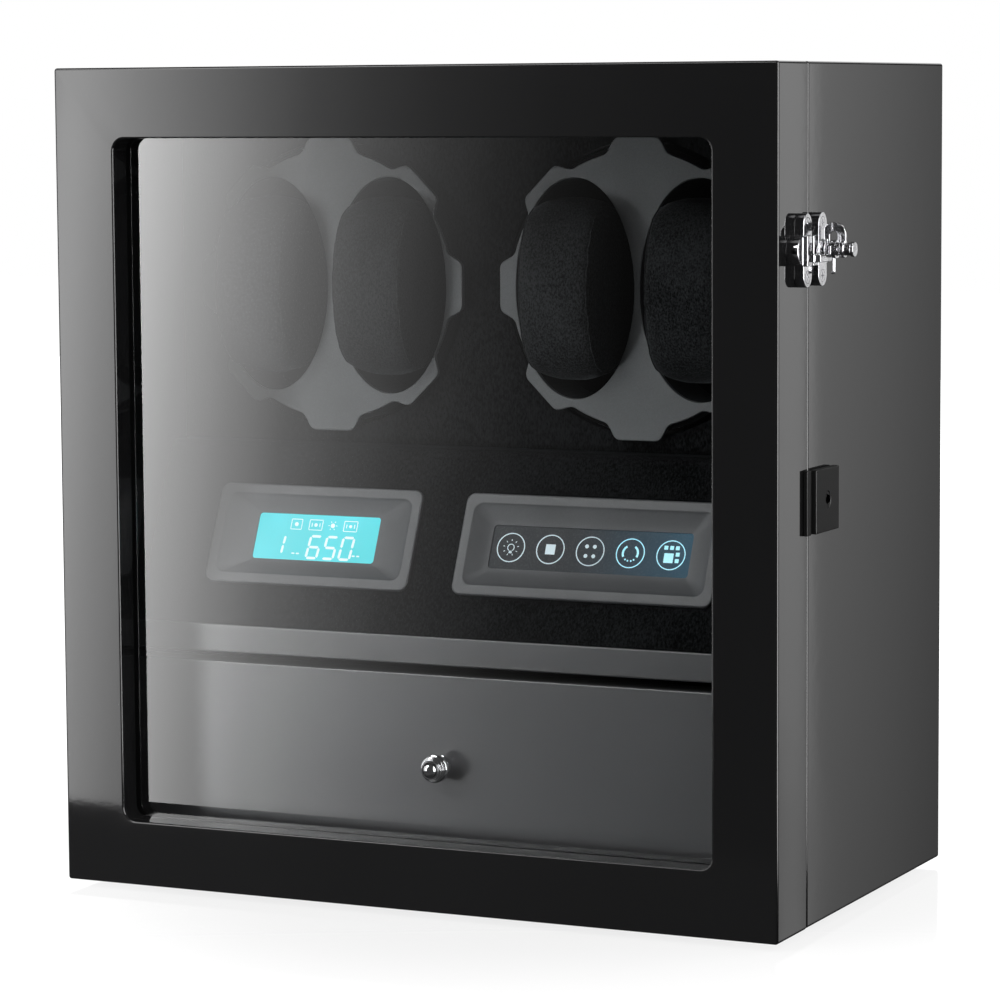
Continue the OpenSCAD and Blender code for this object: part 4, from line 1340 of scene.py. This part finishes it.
@dataclass
class Cushions:
    """Four watch cushions: one is blown up by cloth simulation and copied to the four wells."""

    shop: Workshop
    width: float = 36.5
    depth: float = 50.0
    height: float = 84.0
    well_half: tuple[float, float] = (26.7, 46.3)
    shrink: float = 0.9
    side_share: float = 0.86
    round_share: float = 0.14
    voxel_mm: float = 3.0
    pressure: float = 4.0
    frames: int = 20
    cap_mm: float = 2.2
    seam_out: float = 1.0
    seam_half: tuple[float, float] = (26.5, 40.0)
    cord: float = 0.42
    bodies: tuple[str, ...] = ("cushion_left_a", "cushion_left_b", "cushion_right_a", "cushion_right_b")

    def form(self, around: int = 72, across: int = 25) -> Surface:
        """Oval drum about its middle, trimmed to the well.

        Ring i stands at x_i; its points are (depth/2 cos t, height/2 sin t) times the factor
        0.86 + 0.14 sqrt(1 - |x/half|^9), and z is held inside the well's ellipse by
        z = limit tanh(|z/limit|^3)^(1/3).
        """
        half = self.width / 2 - self.shrink
        x = half * np.sin(np.linspace(-np.pi / 2, np.pi / 2, across))
        t = np.linspace(0, 2 * np.pi, around, endpoint=False)
        ease = self.side_share + self.round_share * (1 - np.abs(x / half) ** 9) ** 0.5
        y = (self.depth / 2 - self.shrink) * ease[:, None] * np.cos(t)
        z = (self.height / 2 - self.shrink) * ease[:, None] * np.sin(t)
        limit = (self.well_half[1] - self.shrink) * np.sqrt(1 - (x / self.well_half[0]) ** 2)[:, None]
        z = limit * np.tanh(np.abs(z / limit) ** 3) ** (1 / 3) * np.sign(z)
        rings = np.stack([np.broadcast_to(x[:, None], y.shape), y, z], -1)
        return loft(rings)

    def simulate(self, made: Object) -> None:
        """Blows the cushion up as cloth under pressure and holds each point within the cap."""
        mesh = made.modifiers.new("remesh", "REMESH")
        mesh.mode, mesh.voxel_size = "VOXEL", self.voxel_mm * MM
        self.shop.apply(made)
        rest = self.coordinates(made)
        cloth = made.modifiers.new("cloth", "CLOTH").settings
        cloth.quality, cloth.mass = 6, 0.2
        cloth.use_pressure, cloth.uniform_pressure_force = True, self.pressure
        cloth.effector_weights.gravity = 0.0
        for number in range(1, self.frames + 1):
            bpy.context.scene.frame_set(number)
        self.shop.apply(made)
        moved = self.coordinates(made) - rest
        length = np.linalg.norm(moved, axis=1)[:, None]
        held = rest + moved * np.minimum(1.0, self.cap_mm * MM / np.maximum(length, 1e-9))
        made.data.vertices.foreach_set("co", held.ravel())
        made.data.update()

    @staticmethod
    def coordinates(made: Object) -> Array:
        """An object's points as an array."""
        flat = np.empty(len(made.data.vertices) * 3)
        made.data.vertices.foreach_get("co", flat)
        return flat.reshape(-1, 3)

    def build(self) -> None:
        """Makes the first cushion about the first well's middle and copies it to the others."""
        first = self.shop.datum.middle(self.bodies[0])
        made = self.shop.mesh(f"{self.bodies[0]}_suede", self.form().shifted(first))
        self.simulate(made)
        smooth = made.modifiers.new("smooth", "SUBSURF")
        smooth.levels = smooth.render_levels = 1
        self.shop.apply(made)
        smooth_shaded(made)
        seams = self.seams(made, first)
        for body in self.bodies:
            shift = Matrix.Translation(Vector((self.shop.datum.middle(body) - first) * MM))
            for source, kind in ((made, "suede"), (seams, "seam")):
                piece = source
                if body != self.bodies[0]:
                    data = source.data.copy()
                    data.transform(shift)
                    piece = linked(f"{body}_{kind}", data)
                if kind == "suede":
                    self.shop.finish(piece, body, Slot.SUEDE, body)
                else:
                    self.shop.finish(piece, body, Slot.SUEDE)

    def seams(self, made: Object, middle: Array) -> Object:
        """Two corded seams laid on the cushion where its band meets its sides."""
        tree = BVHTree.FromObject(made, bpy.context.evaluated_depsgraph_get())
        t = np.linspace(0, 2 * np.pi, 120, endpoint=False)
        parts = []
        for sign in (-1, 1):
            side = np.full(len(t), sign * (self.width / 2 + self.seam_out))
            ring = np.column_stack([side, self.seam_half[0] * np.cos(t), self.seam_half[1] * np.sin(t)])
            aimed = self.shop.datum.in_frame(ring + middle)
            found = np.array([tuple(tree.find_nearest(Vector(p))[0]) for p in aimed])
            parts.append(tube(self.shop.datum.in_case(found), self.cord, 8, closed=True))
        return self.shop.soften(self.shop.mesh(f"{self.bodies[0]}_seam", joined(parts)), 0, angle=80.0)


@dataclass
class Inside:
    """Drive, wiring board and other pieces that an open door or back shows."""

    shop: Workshop

    def build(self) -> None:
        """Rounds the edges of the inner pieces; they keep their places."""
        copy = self.shop.soft_copy
        copy("velvet_walls", "cabinet", Slot.VELVET, 0.5, "upper_lining")
        copy("lamp_strip", "cabinet", Slot.LAMP, 0.6, "led_strip")
        copy("inlet_jack", "cabinet", Slot.JACK, 0.3, "dc_jack")
        for side in ("left", "right"):
            copy(f"gearmotor_{side}", "cabinet", Slot.ZINC, 0.4, f"motor_{side}")
            copy(f"hub_pulley_{side}", f"rotor_{side}", Slot.PULLEY, 0.25, f"spindle_{side}")
            copy(f"shaft_pulley_{side}", f"motor_shaft_{side}", Slot.PULLEY, 0.2, f"motor_pulley_{side}")


# Studio -------------------------------------------------------------------------------------


@dataclass(frozen=True)
class Card:
    """Glowing card that only mirrors see.

    Its brightness is one ramp across it times one up it; slant leans the first ramp over, so that it
    is read further along below the pivot height and less far along above it.
    """

    name: str
    middle: tuple[float, float, float]
    across: tuple[float, float, float]
    up: tuple[float, float, float]
    size: tuple[float, float]
    stops: tuple[tuple[float, float], ...]
    rise: tuple[tuple[float, float], ...] = ((0.0, 1.0), (1.0, 1.0))
    slant: float = 0.0
    pivot: float = 0.36


@dataclass
class Studio:
    """Pale floor and backdrop, soft lights, mirror cards and the camera."""

    shop: Workshop
    eye: tuple[float, float, float] = (716.9, -1410.8, 337.4)
    azimuth: float = 25.493
    elevation: float = -5.948
    roll: float = -0.374
    lens: float = 138.31
    reach: float = 5000.0
    backdrop_low: float = -20.0
    room: float = 0.04

    def build(self) -> None:
        """Makes everything that isn't part of the object."""
        scene = bpy.context.scene
        scene.view_settings.view_transform = "Standard"
        scene.view_settings.look = "None"
        self.world(self.room)
        self.backdrop()
        self.floor()
        self.lights()
        for card in self.cards():
            self.card(card)
        self.camera()

    def world(self, level: float) -> None:
        """Even grey surroundings."""
        world = bpy.data.worlds.new("room")
        bpy.context.scene.world = world
        world.use_nodes = True
        world.node_tree.nodes["Background"].inputs[0].default_value = (level, level, level * 1.02, 1)

    def sheet(self, name: str, corners: Sequence[Sequence[float]]) -> Object:
        """Flat staged sheet through four corners in case millimetres."""
        data = bpy.data.meshes.new(name)
        data.from_pydata(self.shop.datum.in_frame(corners).tolist(), [], [(0, 1, 2, 3)])
        made = linked(name, data)
        return made

    def backdrop(self) -> None:
        """White sheets round the view that only the camera sees."""
        graph = Graph("backdrop")
        white = graph.close(graph.node("ShaderNodeEmission", {}, {"Color": (1.0, 1.0, 1.0)}))
        r, low = self.reach, self.backdrop_low
        ends = [((-r, r), (r, r)), ((-r, -r), (-r, r)), ((r, -r), (r, r)), ((-r, -r), (r, -r))]
        walls = [[(*a, low), (*b, low), (*b, r), (*a, r)] for a, b in ends]
        walls.append([(-r, -r, r), (r, -r, r), (r, r, r), (-r, r, r)])
        for i, corners in enumerate(walls):
            made = self.sheet(f"backdrop_{i}", corners)
            made.data.materials.append(white)
            made.visible_diffuse = made.visible_glossy = made.visible_shadow = False
            made.visible_transmission = made.visible_volume_scatter = False

    def floor(self) -> None:
        """Pale floor with a faint mirror image, its glow dimmed near the case as painted shade."""
        r, low = self.reach, -self.shop.datum.z / MM
        made = self.sheet("floor", [(-r, -r, low), (r, -r, low), (r, r, low), (-r, r, low)])
        graph = Graph("floor_white")
        away = graph.node("ShaderNodeVectorMath", {"operation": "LENGTH"}, {0: graph.place()}, out=1)
        # Painted shade: the floor's glow is 0.82 within 0.12 m of the frame origin under the case and rises
        # to 1.01 beyond 0.32 m.
        level = 0.82 + 0.19 * graph.steps(away, 0.12, 0.32)
        white = graph.node("ShaderNodeEmission", {}, {"Color": level, "Strength": 1.0})
        soft = graph.principled(Base_Color=(0.12, 0.12, 0.12), Roughness=0.06, IOR=1.3)
        made.data.materials.append(graph.close(graph.node("ShaderNodeAddShader", {}, {0: white, 1: soft})))
        made.visible_glossy = made.visible_diffuse = False

    def light(self, name: str, at: Sequence[float], towards: Sequence[float], size: float,
              watts: float, mirrored: bool = False) -> None:
        """Square area light aimed at a point, in case millimetres."""
        lamp = bpy.data.lights.new(name, "AREA")
        lamp.shape, lamp.size, lamp.energy = "SQUARE", size * MM, watts
        made = linked(name, lamp)
        made.location = Vector(self.shop.datum.in_frame(at))
        aim = Vector((np.array(towards) - np.array(at)) * MM)
        made.rotation_euler = aim.to_track_quat("-Z", "Y").to_euler()
        made.visible_glossy = mirrored

    def lights(self) -> None:
        """Large soft key from the upper left front, small low left light, top, weak fill and rim."""
        self.light("key", (-860, -1330, 1330), (0, 60, 180), 900, 17, True)
        self.light("left", (-430, -520, 20), (0, 60, 150), 110, 3.9)
        self.light("top", (100, -500, 1700), (0, 60, 200), 1200, 12)
        self.light("fill", (1300, -900, 500), (0, 60, 200), 900, 3)
        self.light("rim", (1200, 900, 900), (100, 100, 200), 900, 10)

    def cards(self) -> list[Card]:
        """Mirror cards: the graded front-left softbox, the side card and the strips for the edges."""
        def even(level: float) -> tuple[tuple[float, float], ...]:
            """Stops of one level all across."""
            return ((0.0, level), (1.0, level))

        along, upright = (1, 0, 0), (0, 0, 1)
        front = ((0.0, 1.5), (0.12, 3.5), (0.2, 7.5), (0.22, 7.15), (0.28, 4.85), (0.335, 3.3),
                 (0.393, 2.05), (0.45, 1.1), (0.508, 0.62), (0.566, 0.33), (0.623, 0.17), (0.681, 0.07),
                 (0.738, 0.03), (0.796, 0.01), (0.86, 0.0), (1.0, 0.0))
        fall = ((0.0, 1.0), (0.37, 1.0), (0.41, 0.93), (1.0, 0.93))
        side = ((0.0, 0.3), (0.15, 0.38), (0.7, 0.75), (0.74, 1.2), (1.0, 1.3))
        height = ((0.0, 0.55), (0.3, 0.8), (0.6, 1.0), (0.85, 0.95), (1.0, 0.8))
        return [
            Card("card_front", (-650, -1200, 487), along, upright, (900, 1420), front, fall, 0.25),
            Card("card_left", (-1500, -900, 495), (0.6, -0.8, 0), upright, (900, 1400), even(1.6)),
            Card("card_side", (790, 1800, 300), along, upright, (200, 1500), side, height),
            Card("card_right", (1500, -350, 600), (0, 1, 0), upright, (1500, 1700), even(7.0)),
            Card("card_back", (-1000, 3000, 900), along, upright, (2800, 2000), ((0.0, 0.5), (1.0, 1.3))),
            Card("card_top", (0, 100, 1900), along, (0, 1, 0), (1600, 900), ((0.0, 1.2), (1.0, 0.9))),
        ]

    def card(self, card: Card) -> None:
        """Makes one card; its glow is the ramp across times the ramp up it."""
        across, up = np.array(card.across, float), np.array(card.up, float)
        middle = np.array(card.middle, float)
        w, h = across * card.size[0] / 2, up * card.size[1] / 2
        made = self.sheet(card.name, [middle - w - h, middle + w - h, middle + w + h, middle - w + h])
        layer = made.data.uv_layers.new(name="card")
        layer.data.foreach_set("uv", [0.0, 0.0, 1.0, 0.0, 1.0, 1.0, 0.0, 1.0])
        graph = Graph(card.name)
        where = graph.node("ShaderNodeUVMap", {"uv_map": "card"})
        parts = [graph.node("ShaderNodeSeparateXYZ", {}, {0: where}, out=axis) for axis in "XY"]
        parts[0] = parts[0] + card.slant * (card.pivot - parts[1])
        top = max(level for _, level in card.stops)
        levels = [graph.ramp(part, *[(place, (level / scale,) * 3) for place, level in stops])
                  for part, stops, scale in ((parts[0], card.stops, top), (parts[1], card.rise, 1.0))]
        glow = {"Color": levels[0] * levels[1], "Strength": top}
        made.data.materials.append(graph.close(graph.node("ShaderNodeEmission", {}, glow)))
        made.visible_camera = made.visible_diffuse = made.visible_shadow = False
        made.visible_transmission = False

    def camera(self) -> None:
        """Places the camera; its axes follow from azimuth, elevation and roll."""
        a, e, r = np.radians([self.azimuth, self.elevation, self.roll])
        ahead = np.array([-np.sin(a) * np.cos(e), np.cos(a) * np.cos(e), np.sin(e)])
        right = np.array([np.cos(a), np.sin(a), 0.0])
        up = np.cross(right, ahead)
        axes = np.column_stack([np.cos(r) * right + np.sin(r) * up,
                                np.cos(r) * up - np.sin(r) * right, -ahead])
        lens = bpy.data.cameras.new("camera")
        lens.lens, lens.sensor_width, lens.clip_start, lens.clip_end = self.lens, 36.0, 0.05, 30.0
        made = linked("camera", lens)
        place = Matrix.Translation(Vector(self.shop.datum.in_frame(self.eye)))
        made.matrix_world = place @ Matrix(axes.tolist()).to_4x4()
        bpy.context.scene.camera = made


def main() -> None:
    """Builds every sub-assembly and dresses what keeps its CAD shape."""
    logging.basicConfig(level=logging.INFO, format="%(name)s %(message)s")
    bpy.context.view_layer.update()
    keys_low, keys_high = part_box("key_panel")
    looks = finishes(keys_low.x, keys_high.x)
    shop = Workshop(Datum.from_frame(), {key: finish.build() for key, finish in looks.items()})
    Studio(shop).build()
    for assembly in (Carcass(shop), Door(shop), Drawer(shop), Console(shop), Hardware(shop),
                     Rotor(shop, "left"), Rotor(shop, "right"), Cushions(shop), Inside(shop)):
        assembly.build()
        LOG.info("%s done", type(assembly).__name__)
    shop.dress_nodes()


if __name__ == "__main__":
    main()
